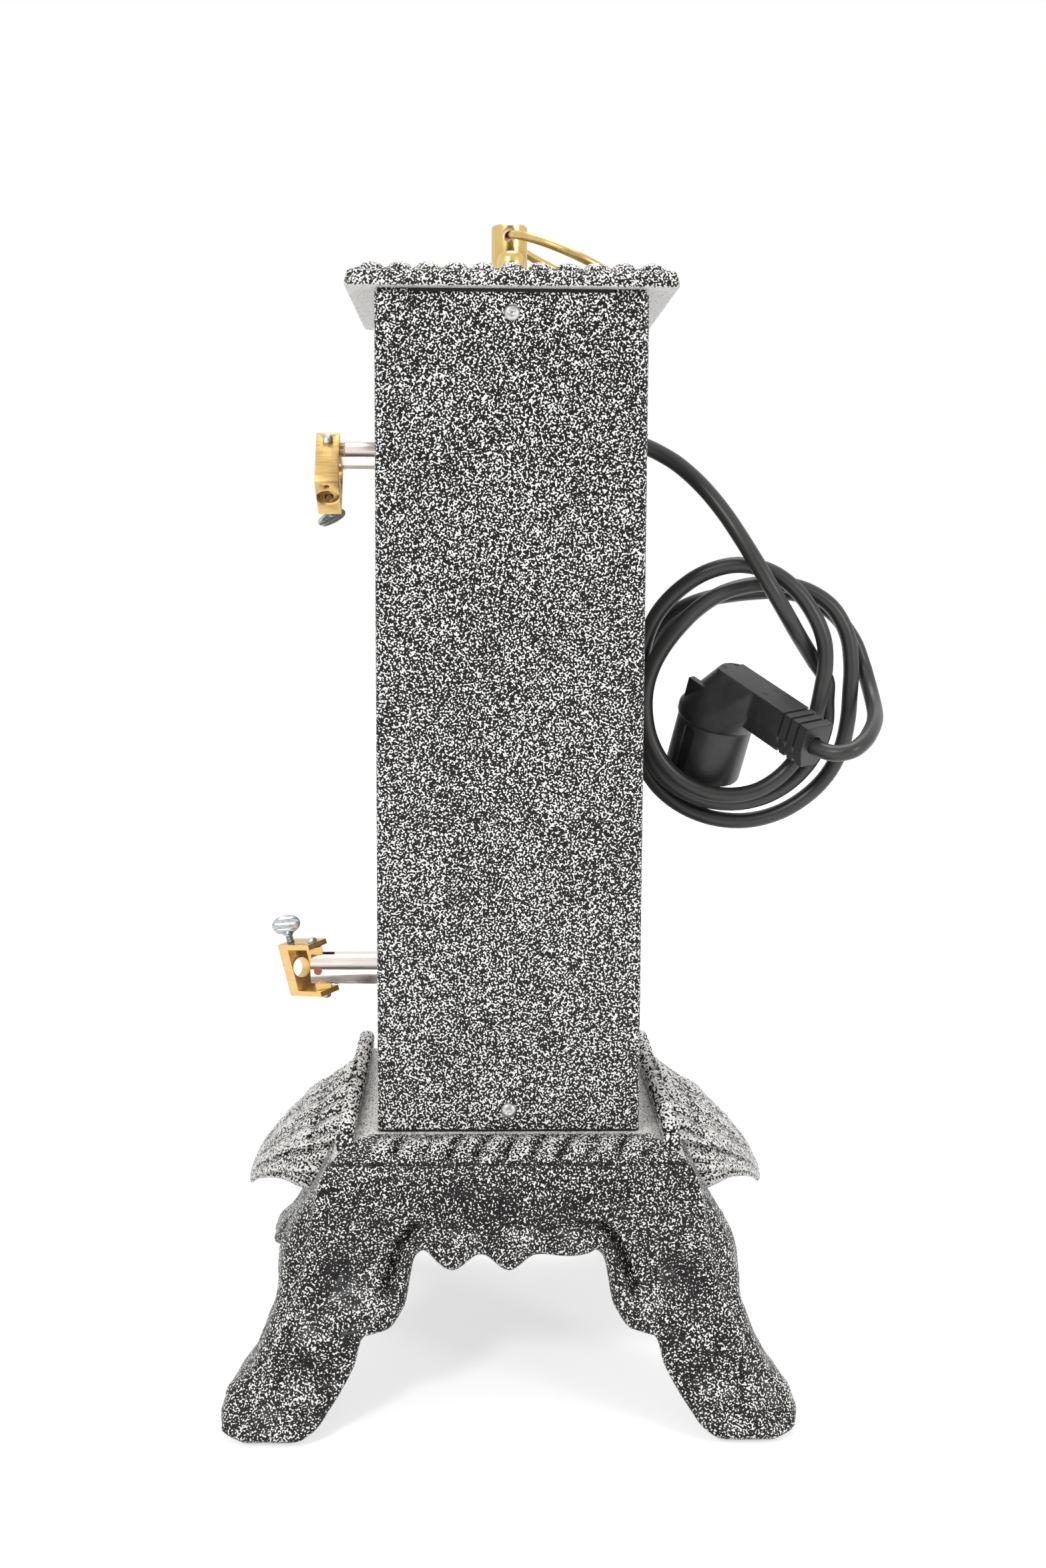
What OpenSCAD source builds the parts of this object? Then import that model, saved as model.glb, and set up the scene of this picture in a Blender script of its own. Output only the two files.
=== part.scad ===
// Electric upright spit roaster: sheet-metal tower on a cast stand, two driven
// shafts that end in brass universal joints, and a mains cord wound in a coil.
// Millimetres. +Z is up, the floor is z = 0, and the spits leave along -X.

/* [Tower] */
// Width of the tower, front to rear
tower_w = 118; // [110:1:126]
// Depth of the tower, side cover to side cover
tower_d = 140; // [134:1:150]
// Height of the stand's deck above the floor
deck_z = 120; // [120:1:124]
// Height of the tower above the deck
tower_h = 371.5; // [366:0.5:380]
// Thickness of the side covers
cover_t = 1.2; // [1:0.1:1.6]
// Thickness of the front and rear panels
panel_t = 1.5; // [1.2:0.1:2]

/* [Shafts] */
// Height of the lower spit shaft
low_z = 180; // [178:1:182]
// Tooth module of the gear train
gear_m = 2; // [2:1:2]
// Teeth on the two shaft gears
shaft_teeth = 32; // [32:1:32]
// Teeth on the drive gear and the two idlers
idler_teeth = 30; // [30:1:30]
// Diameter of the lower shaft
low_d = 15.8; // [15:0.1:16]
// Diameter of the upper shaft
up_d = 14; // [13:0.1:15]
// Distance of the lower pivot in front of the tower's axis
low_reach = 90.6; // [88:0.1:94]
// Distance of the upper pivot in front of the tower's axis
up_reach = 83.7; // [82:0.1:88]

/* [Universal joints] */
// Clear width between the arms of a yoke
yoke_gap = 21; // [20.6:0.1:22]
// Width of the yoke's strap
yoke_w = 10.8; // [10:0.1:12]
// Distance from the pivot to the outer face of the yoke
yoke_reach = 23.3; // [22:0.1:25]
// Diameter of the square-ended spit's hole
spit_d = 9.8; // [9:0.1:10]
// Tilt of the lower cross block as it hangs
low_tilt = 14.2; // [0:0.1:14.5]
// Swing of the lower yoke as it hangs
low_swing = 50; // [0:1:80]
// Turn of the upper shaft as it stands
up_turn = 57.3; // [0:0.1:90]
// Swing of the upper yoke as it hangs
up_swing = 90; // [0:1:90]

/* [Stand] */
// Thickness of the casting's walls
cast_t = 7; // [6:0.5:8]
// Width of the shell ornament at its root, from its middle
shell_w = 62; // [50:1:64]

/* [Cap] */
// Overhang of the cap in front and behind
cap_over_x = 12.5; // [10:0.5:14]
// Overhang of the cap at the sides
cap_over_y = 6; // [5:0.5:8]
// Height of the cap's rim
rim_h = 7; // [6:0.5:9]
// Mean diameter of the carrying ring
ring_d = 61; // [58:1:61]
// Thickness of the ring's wire
ring_wire = 4; // [3.5:0.1:4.4]

/* [Cord] */
// Diameter of the mains cord
cord_d = 7.6; // [7.4:0.1:8]
// Spacing of the coil's turns, side to side
coil_step = 9; // [8.8:0.1:10]

/* [Hidden] */

hx = tower_w / 2;
hy = tower_d / 2;
top_z = deck_z + tower_h;
gap = 0.15;
fit = 0.05;

// Places of the gear train, from front to rear of its space
panel_x = -hx + cover_t + 0.1;
gear_x = -46;
gear_t = 9;
frame_x = -27;
frame_t = 3;
idler_step = gear_m * idler_teeth;
shaft_step = gear_m * (shaft_teeth + idler_teeth) / 2;
drive_z = low_z + shaft_step + idler_step;
up_z = low_z + 2 * (shaft_step + idler_step);
rod_y = 45;
rod_d = 6;

// Paints and metals
paint = [0.42, 0.41, 0.41];
steel = [0.72, 0.72, 0.74];
nickel = [0.82, 0.79, 0.75];
brass = [0.78, 0.62, 0.33];
zinc = [0.76, 0.79, 0.81];
black = [0.13, 0.13, 0.14];

// Cylinder along +X from x0 to x1
module along_x(d, x0, x1, n = 48) {
    translate([x0, 0, 0]) rotate([0, 90, 0]) cylinder(d = d, h = x1 - x0, $fn = n);
}

// Cylinder along Y, centred
module along_y(d, h, n = 48) {
    rotate([90, 0, 0]) cylinder(d = d, h = h, center = true, $fn = n);
}

// Faces of a skin over m rings of n points, with both ends closed
function skin_faces(n, m) = concat(
    [[for (j = [n - 1:-1:0]) j]],
    [[for (j = [0:n - 1]) (m - 1) * n + j]],
    [for (i = [0:m - 2]) for (j = [0:n - 1])
        [i * n + j, i * n + (j + 1) % n, (i + 1) * n + (j + 1) % n]],
    [for (i = [0:m - 2]) for (j = [0:n - 1])
        [i * n + j, (i + 1) * n + (j + 1) % n, (i + 1) * n + j]]);

// How far the stand's corner stands out from the tower at height z
FLARE = [[0, 57.5], [3, 61], [7, 58.5], [12, 54], [24, 48.7], [36, 45], [46, 40.2], [55, 35],
    [67, 30.6], [80, 28.4], [95, 26.7], [105, 24.7], [111, 21.5]];
function flare(z) = lookup(z, FLARE);

// Scrolls that swell the front and rear faces of each leg
SCROLL = [[0, 2], [4, 5], [10, 10.8], [17, 11], [25, 8], [32, 6], [40, 5.5], [47, 6], [55, 8],
    [61, 9.5], [67, 13], [74, 13.5], [82, 11], [90, 7], [97, 3], [105, 0], [111, 0]];
function scroll(z) = lookup(z, SCROLL);

// One ring of the stand's outer skin; the legs' scrolls lie on the front and rear faces
SCROLL_Y = [[0, 0], [7, 0.75], [16, 1], [32, 0.9], [44, 0]];
function half_ring(z, s) = let (x = hx + flare(z), y = hy + flare(z), b = scroll(z))
    concat([for (k = SCROLL_Y) [s * (x + k[1] * b), s * (y - k[0]), z]],
        [for (i = [len(SCROLL_Y) - 1:-1:0]) let (k = SCROLL_Y[i])
            [s * (x + k[1] * b), s * (k[0] - y), z]]);
function stand_ring(z) = concat(half_ring(z, 1), half_ring(z, -1));

// A plain rectangle of the stand's inner skin
function core_ring(z, t) = let (x = hx + flare(z) - t, y = hy + flare(z) - t)
    [[x, y, z], [x, -y, z], [-x, -y, z], [-x, y, z]];

// The opening between two legs, widened by w, with its scalloped apron
ARCH = [[93, -1], [90, 1], [79.5, 10], [72.5, 20], [67, 30], [65, 37], [63, 41], [58, 42.2],
    [52, 44], [48, 49], [45.2, 54], [43.5, 63], [41.6, 71.5], [38, 74.5], [35, 73.5]];
function apron(x) = x > 25 ? 72.6 + 0.4 * cos(360 * x / 25) : 69.6 + 3.4 * cos(360 * x / 25);
function arch_side(w) = [for (p = ARCH) [p[0] + w, p[1]]];
module arch_outline(w) {
    polygon(concat([for (p = arch_side(w)) p], [for (x = [31.25:-4.1667:-31.3]) [x, apron(x + 12.5)]],
        [for (i = [len(ARCH) - 1:-1:0]) [-ARCH[i][0] - w, ARCH[i][1]]]));
}

// The shell that overhangs the front and rear faces: top and bottom edge of each section
SHELL = [[[75, 129], [84, 68], 1], [[82, 125], [90, 71], 1], [[89, 120], [96, 73.5], 0.95],
    [[96, 115.5], [102, 75.5], 0.87], [[102, 110], [107, 76], 0.76], [[109.5, 103], [112, 76.3], 0.63],
    [[115.6, 96.5], [117, 75], 0.48], [[121, 88.7], [120.5, 73.5], 0.32], [[124.6, 81], [124, 72.7], 0.17],
    [[125.5, 77], [125, 74], 0.07]];
SHELL_N = 20;
function shell_ring(k) = [for (i = [0:SHELL_N - 1]) let (a = 360 * i / SHELL_N,
        r = 1 - 0.05 * cos(a * 7), t = k[0], b = k[1])
    [(t[0] + b[0]) / 2 - (t[0] - b[0]) / 2 * sin(a) * r, shell_w * k[2] * cos(a) * r,
        (t[1] + b[1]) / 2 - (t[1] - b[1]) / 2 * sin(a) * r]];

module shell_ornament() {
    pts = [for (k = SHELL) for (p = shell_ring(k)) p];
    polyhedron(points = pts, faces = skin_faces(SHELL_N, len(SHELL)), convexity = 6);
}

// One slanted lobe of the moulding on the shoulder of the near and far sides
module lobe(x) {
    hull() {
        translate([x, -hy - 9, deck_z - 2.5]) sphere(r = 4.6, $fn = 6);
        translate([x + sign(x) * 5, -hy - 17, deck_z - 7.5]) sphere(r = 4.2, $fn = 6);
    }
}

// Underside of the deck, where the tie rods are nutted
deck_under = deck_z - 8;

module stand() {
    levels = [0, 3, 7, 12, 18, 25, 32, 40, 47, 55, 61, 67, 74, 82, 90, 97, 105, 111];
    color(paint) difference() {
        union() {
            polyhedron(points = [for (z = levels) for (p = stand_ring(z)) p],
                faces = skin_faces(20, len(levels)), convexity = 8);
            hull() {
                translate([0, 0, 110]) cube([tower_w + 43, tower_d + 43, 2], center = true);
                translate([0, 0, deck_z - 1]) cube([tower_w + 18, tower_d + 18, 2], center = true);
            }
            shell_ornament();
            rotate([0, 0, 180]) shell_ornament();
            for (s = [-1, 1]) {
                translate([s * (hx + 14), 0, deck_z - 1]) cube([12, tower_d + 34, 6], center = true);
                for (i = [-6:6])
                    translate([s * (hx + 14), i * 13, deck_z + 3.6]) rotate(22.5) sphere(r = 6.3, $fn = 8);
            }
            for (a = [0, 180]) rotate([0, 0, a]) for (x = [-67.5:15:67.5]) lobe(x);
        }
        inner = [-1, 3, 12, 24, 36, 46, 55, 67, 80, 95, 104];
        polyhedron(points = [for (z = inner) for (p = core_ring(z, cast_t)) p],
            faces = skin_faces(4, len(inner)), convexity = 4);
        translate([0, 0, 103.9]) linear_extrude(height = deck_under - 103.9, convexity = 2)
            square([tower_w + 32, tower_d + 32], center = true);
        rotate([90, 0, 0]) linear_extrude(height = 400, center = true, convexity = 6) arch_outline(0);
        rotate([90, 0, 90]) linear_extrude(height = 400, center = true, convexity = 6) arch_outline(11);
        for (s = [-1, 1]) translate([0, s * rod_y, 100]) cylinder(d = rod_d + 1, h = 40, $fn = 24);
    }
}

// A folded pan: a plate with flanges on its sides, which the covers are riveted to
module pan(t, flange, up) {
    x = hx - 3.5;
    y = hy - cover_t - 0.2;
    difference() {
        union() {
            translate([-x, 2 - y, 0]) cube([2 * x, 2 * y - 4, t]);
            translate([-44, -y, 0]) cube([88, 2 * y, t]);
            for (s = [-1, 1]) {
                translate([-40, s * (y - t / 2) - t / 2, up ? 0 : t - flange]) cube([80, t, flange]);
                translate([s * (x - t / 2) - t / 2, -48, up ? 0 : t - flange]) cube([t, 96, flange]);
            }
        }
        for (s = [-1, 1]) translate([0, s * rod_y, -30]) cylinder(d = rod_d + 0.6, h = 60, $fn = 32);
        translate([0, 0, up ? 9.8 : t - 9.8]) along_y(4, 2 * hy, 24);
    }
}

module bottom_plate() {
    color(steel) translate([0, 0, deck_z]) pan(2, 20, true);
}

module top_plate() {
    color(steel) difference() {
        translate([0, 0, top_z - 2]) pan(2, 20, false);
        translate([0, 0, top_z - 5]) cylinder(d = 8.4, h = 10, $fn = 32);
    }
}

// Outline of a front or rear panel seen from above: a web with two flanges turned inward
module panel_outline(flange) {
    w = hy - cover_t - 0.1;
    x0 = hx - cover_t - 0.1;
    for (s = [-1, 1]) translate([x0 - flange, s * (w - panel_t / 2) - panel_t / 2])
        square([flange, panel_t]);
    translate([x0 - panel_t, -w]) square([panel_t, 2 * w]);
}

module front_panel() {
    color(paint) rotate([0, 0, 180]) difference() {
        translate([0, 0, deck_z]) linear_extrude(height = tower_h) panel_outline(13);
        translate([0, 0, low_z]) along_x(22, 30, 80);
        translate([0, 0, up_z]) along_x(20, 30, 80);
    }
}

module rear_panel() {
    color(paint) difference() {
        translate([0, 0, deck_z]) linear_extrude(height = tower_h) panel_outline(13);
        translate([0, 0, cord_z]) along_x(13, 30, 80);
    }
}

// Outline of a side cover seen from above: a web with its edges bent round the corners
module cover_outline() {
    r = 2.4;
    lip = 14;
    difference() {
        union() {
            translate([-hx + r, -hy]) square([tower_w - 2 * r, lip]);
            translate([-hx, -hy + r]) square([tower_w, lip - r]);
            for (s = [-1, 1]) translate([s * (hx - r), -hy + r]) circle(r = r, $fn = 32);
        }
        translate([-hx + cover_t, -hy + cover_t]) square([tower_w - 2 * cover_t, lip]);
    }
}

rivet_z = [deck_z + 9.8, top_z - 9.8];

module side_cover() {
    difference() {
        translate([0, 0, deck_z + 0.3]) linear_extrude(height = tower_h - 2) cover_outline();
        for (z = rivet_z) translate([0, -hy, z]) along_y(4, 10, 24);
    }
}

module side_cover_near() {
    color(paint) side_cover();
}

module side_cover_far() {
    color(paint) rotate([0, 0, 180]) side_cover();
}

// Blind rivets with a domed head and the dimple that the mandrel leaves
module blind_rivet() {
    rotate([90, 0, 0]) rotate_extrude($fn = 40)
        polygon([[0, -6], [2, -6], [2, 0.02], [3.5, 0.02], [3.4, 0.5], [2.9, 1.1], [2.1, 1.5],
            [1.4, 1.6], [1.1, 1.2], [0, 1.2]]);
}

module cover_rivets() {
    color(zinc) for (a = [0, 180]) rotate([0, 0, a]) for (z = rivet_z)
        translate([0, -hy, z]) blind_rivet();
}

// Cast cap: flat underside, rim that tapers upward, and a row of beads inside its edge
cap_x = hx + cap_over_x;
cap_y = hy + cap_over_y;
cap_z = top_z + rim_h;

module cap() {
    bead = 12;
    nx = 11;
    ny = 12;
    color(paint) difference() {
        union() {
            hull() {
                translate([0, 0, top_z + 0.5]) cube([2 * cap_x, 2 * cap_y, 1], center = true);
                translate([0, 0, cap_z - 0.5]) cube([2 * cap_x - 2.4, 2 * cap_y - 2.4, 1], center = true);
            }
            translate([0, 0, cap_z + 0.9]) cube([86, 2 * cap_y - 30, 2], center = true);
            for (s = [-1, 1]) {
                for (i = [0:nx - 1]) translate([(i - (nx - 1) / 2) * bead, s * (cap_y - 7.6), cap_z - 1.4])
                    sphere(r = 5.8, $fn = 24);
                for (i = [1:ny - 2]) translate([s * (cap_x - 7.6), (i - (ny - 1) / 2) * bead, cap_z - 1.4])
                    sphere(r = 5.8, $fn = 24);
            }
        }
        for (s = [-1, 1]) translate([0, s * rod_y, top_z - 5]) cylinder(d = rod_d + 0.6, h = 30, $fn = 32);
        translate([0, 0, top_z - 5]) cylinder(d = 8, h = 30, $fn = 32);
    }
}

// Brass stud on the cap, drilled across for the ring, with its screwed tail
pad_z = cap_z + 1.9;
stud_d = 16.6;
stud_top = top_z + 38;
ring_z = stud_top - 4.9;
ring_hole = 6.8;

module cap_stud() {
    color(brass) difference() {
        translate([0, 0, pad_z]) rotate_extrude($fn = 64)
            polygon([[0, -17], [4, -17], [4, 0], [stud_d / 2, 0], [stud_d / 2, stud_top - pad_z - 0.8],
                [stud_d / 2 - 0.8, stud_top - pad_z], [0, stud_top - pad_z]]);
        translate([0, 0, ring_z]) along_y(ring_hole, 30, 32);
    }
}

// The ring hangs in the stud's hole and leans over to rest on the cap
ring_lean = 23.3;

module carrying_ring() {
    color(brass) translate([0, 0, ring_z]) rotate([0, ring_lean, 0])
        translate([ring_d / 2 - 0.5, 0, 0]) rotate_extrude($fn = 96)
            translate([ring_d / 2, 0]) circle(d = ring_wire, $fn = 20);
}

// Domed brass nuts over the ends of the tie rods
module cap_nuts() {
    color(brass) for (s = [-1, 1]) translate([0, s * rod_y, pad_z]) rotate_extrude($fn = 48)
        polygon([[rod_d / 2, 0], [7.6, 0], [7.6, 1.2], [6.2, 1.4], [6.2, 5.6], [5.9, 7.4], [5, 9],
            [3.6, 10.1], [1.8, 10.6], [0, 10.7], [0, 8], [rod_d / 2, 8]]);
}

module tie_rods() {
    low = deck_under - 9;
    color(steel) for (s = [-1, 1]) translate([0, s * rod_y, low])
        cylinder(d = rod_d, h = pad_z + 7.8 - low, $fn = 32);
}

module tie_rod_nuts() {
    color(zinc) for (s = [-1, 1]) translate([0, s * rod_y, 0]) difference() {
        union() {
            translate([0, 0, deck_under - 1.5]) cylinder(d = 18, h = 1.5, $fn = 32);
            translate([0, 0, deck_under - 6.7]) cylinder(d = 11.5, h = 5.2, $fn = 6);
        }
        translate([0, 0, deck_under - 10]) cylinder(d = rod_d, h = 20, $fn = 32);
    }
}

// Channel that carries the rear bearings, the idlers and the motor
module gear_frame() {
    y = 53;
    z0 = 138;
    z1 = 472;
    color(steel) difference() {
        translate([0, 0, z0]) linear_extrude(height = z1 - z0) {
            translate([frame_x, -y]) square([frame_t, 2 * y]);
            for (s = [-1, 1]) translate([panel_x + panel_t, s * (y - 1) - 1])
                square([frame_x - panel_x - panel_t, 2]);
        }
        for (z = [low_z, up_z]) translate([0, 0, z]) along_x(22, frame_x - 5, frame_x + 10);
        for (z = idler_z) translate([0, 0, z]) along_x(6, frame_x - 5, frame_x + 10);
        translate([0, 0, drive_z]) along_x(24, frame_x - 5, frame_x + 10);
        for (p = motor_holes) translate([0, p[0], drive_z + p[1]]) along_x(4.2, frame_x - 5, frame_x + 10);
        for (z = [(low_z + idler_z[0]) / 2, (up_z + idler_z[1]) / 2], s = [-1, 1])
            translate([0, s * 36, z]) along_x(18, frame_x - 5, frame_x + 10);
    }
}

idler_z = [low_z + shaft_step, up_z - shaft_step];
motor_holes = [for (y = [-25, 25]) for (z = [-25, 25]) [y, z]];

// Flanged bush: bore d, body and flange, with the flange at x = 0 and the body along +X
module flanged_bush(d, body, len) {
    rotate([0, 90, 0]) rotate_extrude($fn = 64)
        polygon([[d / 2 + fit, -2.5], [body / 2 + 3, -2.5], [body / 2 + 3, 0], [body / 2, 0],
            [body / 2, len], [d / 2 + fit, len]]);
}

module front_bushes() {
    color(brass) {
        translate([panel_x, 0, low_z]) flanged_bush(low_d, 22, 9.5);
        translate([panel_x, 0, up_z]) flanged_bush(up_d, 20, 9.5);
    }
}

module rear_bushes() {
    color(brass) {
        translate([frame_x, 0, low_z]) flanged_bush(low_d, 22, 7);
        translate([frame_x, 0, up_z]) flanged_bush(up_d, 22, 7);
    }
}

// Pins that the two idlers turn on, with a shoulder and a riveted tail
module idler_axles() {
    color(steel) for (z = idler_z) translate([0, 0, z]) {
        along_x(8, gear_x - 2.5, frame_x - 2);
        along_x(14, frame_x - 2, frame_x);
        along_x(6, frame_x, frame_x + frame_t + 1.5);
    }
}

module axle_clips() {
    color(zinc) for (z = idler_z) translate([0, 0, z]) difference() {
        along_x(13, gear_x - 1.4, gear_x - 0.4);
        along_x(8, gear_x - 3, gear_x + 3);
        translate([gear_x - 3, 0, -2]) cube([6, 10, 4]);
    }
}

// Outline of a spur gear with involute flanks
function inv_deg(a) = tan(a) * 180 / PI - a;
function flank(r, rb) = inv_deg(acos(min(1, rb / r)));
module gear_outline(teeth, play) {
    rp = gear_m * teeth / 2;
    rb = rp * cos(20);
    ra = rp + gear_m * 0.95;
    rr = rp - gear_m * 1.2;
    half = 90 / teeth - play / rp * 90 / PI;
    radii = [max(rb, rr + 0.3), rp - 0.5, rp + 0.6, ra];
    angle = [for (r = radii) half + inv_deg(20) - flank(r, rb)];
    polygon([for (i = [0:teeth - 1]) let (c = 360 * i / teeth)
        each concat([[rr * cos(c - angle[0] - 0.6), rr * sin(c - angle[0] - 0.6)]],
            [for (k = [0:3]) [radii[k] * cos(c - angle[k]), radii[k] * sin(c - angle[k])]],
            [for (k = [3:-1:0]) [radii[k] * cos(c + angle[k]), radii[k] * sin(c + angle[k])]],
            [[rr * cos(c + angle[0] + 0.6), rr * sin(c + angle[0] + 0.6)]])]);
}

// A gear on the X axis, with a hub and a bore, turned by a number of teeth
module spur_gear(teeth, bore, hub, turn, holes) {
    rotate([90, 0, 90]) difference() {
        union() {
            translate([0, 0, gear_x]) linear_extrude(height = gear_t, convexity = 8)
                rotate(turn * 360 / teeth) gear_outline(teeth, 0.16);
            translate([0, 0, gear_x]) cylinder(d = hub, h = gear_t + 6, $fn = 48);
        }
        translate([0, 0, gear_x - 10]) cylinder(d = bore, h = 40, $fn = 48);
        for (i = [0:holes - 1]) rotate(i * 360 / holes) translate([gear_m * teeth / 4 + 4.5, 0, gear_x - 10])
            cylinder(d = 11, h = 40, $fn = 32);
    }
}

module lower_gear() {
    color(steel) translate([0, 0, low_z]) spur_gear(shaft_teeth, low_d, 26, 0, 5);
}

module upper_gear() {
    color(steel) translate([0, 0, up_z]) spur_gear(shaft_teeth, up_d, 26, 0, 5);
}

// A tooth of the lower gear points straight up, so the teeth above alternate gap and tooth
module lower_idler() {
    color(steel) translate([0, 0, idler_z[0]]) spur_gear(idler_teeth, 8 + 2 * fit, 18, 0, 5);
}

module drive_gear() {
    color(steel) translate([0, 0, drive_z]) spur_gear(idler_teeth, 8, 20, 0.5, 5);
}

module upper_idler() {
    color(steel) translate([0, 0, idler_z[1]]) spur_gear(idler_teeth, 8 + 2 * fit, 18, 0, 5);
}

// Geared motor: square gearbox, round can and the boss that locates it in the channel
box_x = frame_x + frame_t;

module gear_motor() {
    s = 29;
    color([0.30, 0.31, 0.33]) translate([0, 0, drive_z]) difference() {
        union() {
            translate([box_x, 0, 0]) rotate([90, 0, 90]) linear_extrude(height = 27) {
                square([2 * s, 2 * s - 8], center = true);
                square([2 * s - 8, 2 * s], center = true);
                for (p = [[-1, -1], [-1, 1], [1, -1], [1, 1]]) translate(p * (s - 4)) circle(r = 4, $fn = 24);
            }
            along_x(23.8, frame_x, box_x + 1, 64);
            along_x(53, box_x + 27, box_x + 60, 64);
            along_x(16, box_x + 60, box_x + 63, 32);
        }
        along_x(8 + 2 * fit, frame_x - 1, box_x + 16);
        for (p = motor_holes) translate([0, p[0], p[1]]) along_x(4, box_x - 1, box_x + 10, 24);
    }
}

module motor_screws() {
    color(zinc) for (p = motor_holes) translate([0, p[0], drive_z + p[1]]) {
        along_x(7, frame_x - 2.6, frame_x, 24);
        along_x(4, frame_x, box_x + 9, 24);
    }
}

module motor_shaft() {
    color(steel) translate([0, 0, drive_z]) along_x(8, gear_x - 2.5, box_x + 15.5);
}

// A spit shaft along X: bored and slotted at its outer end for the cross block
slot_w = 7;
block_x = 3.5;
block_y = 3.3;
pin_d = 4;
shaft_end = frame_x + 13;

module spit_shaft(d, reach) {
    difference() {
        along_x(d, -reach - 3.6, shaft_end, 64);
        along_x(d - 4.5, -reach - 4, -reach + 24, 48);
        translate([-reach - 4, -slot_w / 2, -10]) cube([4 + 7.6, slot_w, 20]);
        translate([-reach, 0, 0]) along_y(pin_d, 30, 32);
    }
}

module lower_shaft() {
    color(nickel) translate([0, 0, low_z]) spit_shaft(low_d, low_reach);
}

module upper_shaft() {
    color(nickel) translate([0, 0, up_z]) rotate([up_turn, 0, 0]) spit_shaft(up_d, up_reach);
}

// Collar that holds a shaft back in its bushes
module shaft_collar(d) {
    x0 = frame_x + 7 + gap;
    difference() {
        along_x(24, x0, x0 + 5.5);
        along_x(d, x0 - 1, x0 + 10);
        translate([x0 + 2.75, 0, d / 2 - 1]) cylinder(d = 3, h = 12, $fn = 24);
    }
}

module lower_collar() {
    color(steel) translate([0, 0, low_z]) shaft_collar(low_d);
}

module upper_collar() {
    color(steel) translate([0, 0, up_z]) shaft_collar(up_d);
}

module cross_pin(d) {
    along_y(pin_d, d - 0.2, 32);
}

module lower_cross_pin() {
    color([0.72, 0.47, 0.38]) translate([-low_reach, 0, low_z]) cross_pin(low_d);
}

module upper_cross_pin() {
    color([0.72, 0.47, 0.38]) translate([-up_reach, 0, up_z]) rotate([up_turn, 0, 0]) cross_pin(up_d);
}

// Places of the parts of each joint
module at_low_block() {
    translate([-low_reach, 0, low_z]) rotate([0, -low_tilt, 0]) children();
}

module at_up_block() {
    translate([-up_reach, 0, up_z]) rotate([up_turn, 0, 0]) children();
}

module at_low_yoke() {
    at_low_block() rotate([0, 0, -low_swing]) children();
}

module at_up_yoke() {
    at_up_block() rotate([0, 0, up_swing]) rotate([180, 0, 0]) children();
}

// Cross block: turns on the pin, and carries the yoke's two screws in its ends
block_z = yoke_gap / 2 - gap;
screw_d = 3;

module cross_block() {
    difference() {
        cube([2 * block_x, 2 * block_y, 2 * block_z], center = true);
        along_y(pin_d + 2 * fit, 20, 32);
        for (s = [-1, 1]) translate([0, 0, s * (block_z - 2.6)])
            cylinder(d = screw_d, h = 5.4, center = true, $fn = 32);
    }
}

module lower_block() {
    color(brass) at_low_block() cross_block();
}

module upper_block() {
    color(brass) at_up_block() cross_block();
}

arm_t = 2.6;
arm_tip = 3.8;
base_t = 8;
thumb_d = 4;
thumb_x = -yoke_reach + base_t / 2;

module pivot_screws() {
    for (s = [0, 1]) mirror([0, 0, s]) translate([0, 0, block_z - 5.2]) rotate_extrude($fn = 40) {
        h = 5.2 + gap + arm_t + 0.1;
        polygon([[0, 0], [screw_d / 2, 0], [screw_d / 2, h], [2.3, h], [2.3, h + 0.9], [1.9, h + 1.7],
            [1.1, h + 2.1], [0, h + 2.2]]);
    }
}

module lower_pivot_screws() {
    color(zinc) at_low_block() pivot_screws();
}

module upper_pivot_screws() {
    color(zinc) at_up_block() pivot_screws();
}

// Yoke: a brass strap milled to a U; the spit goes through the hole in its base
module yoke() {
    z = yoke_gap / 2 + arm_t;
    difference() {
        translate([-yoke_reach, -yoke_w / 2, -z]) cube([yoke_reach + arm_tip, yoke_w, 2 * z]);
        translate([-yoke_reach + base_t, -yoke_w, -yoke_gap / 2]) cube([60, 2 * yoke_w, yoke_gap]);
        along_x(spit_d, -yoke_reach - 1, -yoke_reach + base_t + 1, 48);
        translate([-yoke_reach - 0.01, 0, 0]) rotate([0, 90, 0]) cylinder(d1 = spit_d + 1.4, d2 = spit_d, h = 0.7, $fn = 48);
        for (s = [-1, 1]) translate([0, 0, s * z]) cylinder(d = screw_d + 2 * fit, h = 8, center = true, $fn = 32);
        translate([thumb_x, 0, 0]) cylinder(d = thumb_d + 2 * fit, h = 2 * z, $fn = 32);
        translate([0, 0, -9]) along_x(2.4, -yoke_reach - 1, -yoke_reach + 4, 24);
    }
}

module lower_yoke() {
    color(brass) at_low_yoke() yoke();
}

module upper_yoke() {
    color(brass) at_up_yoke() yoke();
}

// Thumb screw, drawn back clear of the spit's hole: shank, collar and flat oval head
module thumb_screw() {
    z = yoke_gap / 2 + arm_t;
    tip = spit_d / 2 + 0.6;
    translate([thumb_x, 0, 0]) {
        translate([0, 0, tip]) cylinder(d = thumb_d, h = z + 4.6 - tip, $fn = 32);
        translate([0, 0, z + 4]) cylinder(d1 = 4.4, d2 = 5.2, h = 3, $fn = 32);
        translate([0, 0, z + 9.4]) rotate([90, 0, 20]) resize([14.6, 9.4, 2.8])
            sphere(d = 10, $fn = 18);
    }
}

module lower_thumb_screw() {
    color(zinc) at_low_yoke() thumb_screw();
}

module upper_thumb_screw() {
    color(zinc) at_up_yoke() thumb_screw();
}

// Wiring inside the tower
cord_z = 432.6;
block_low = 360;

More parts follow.
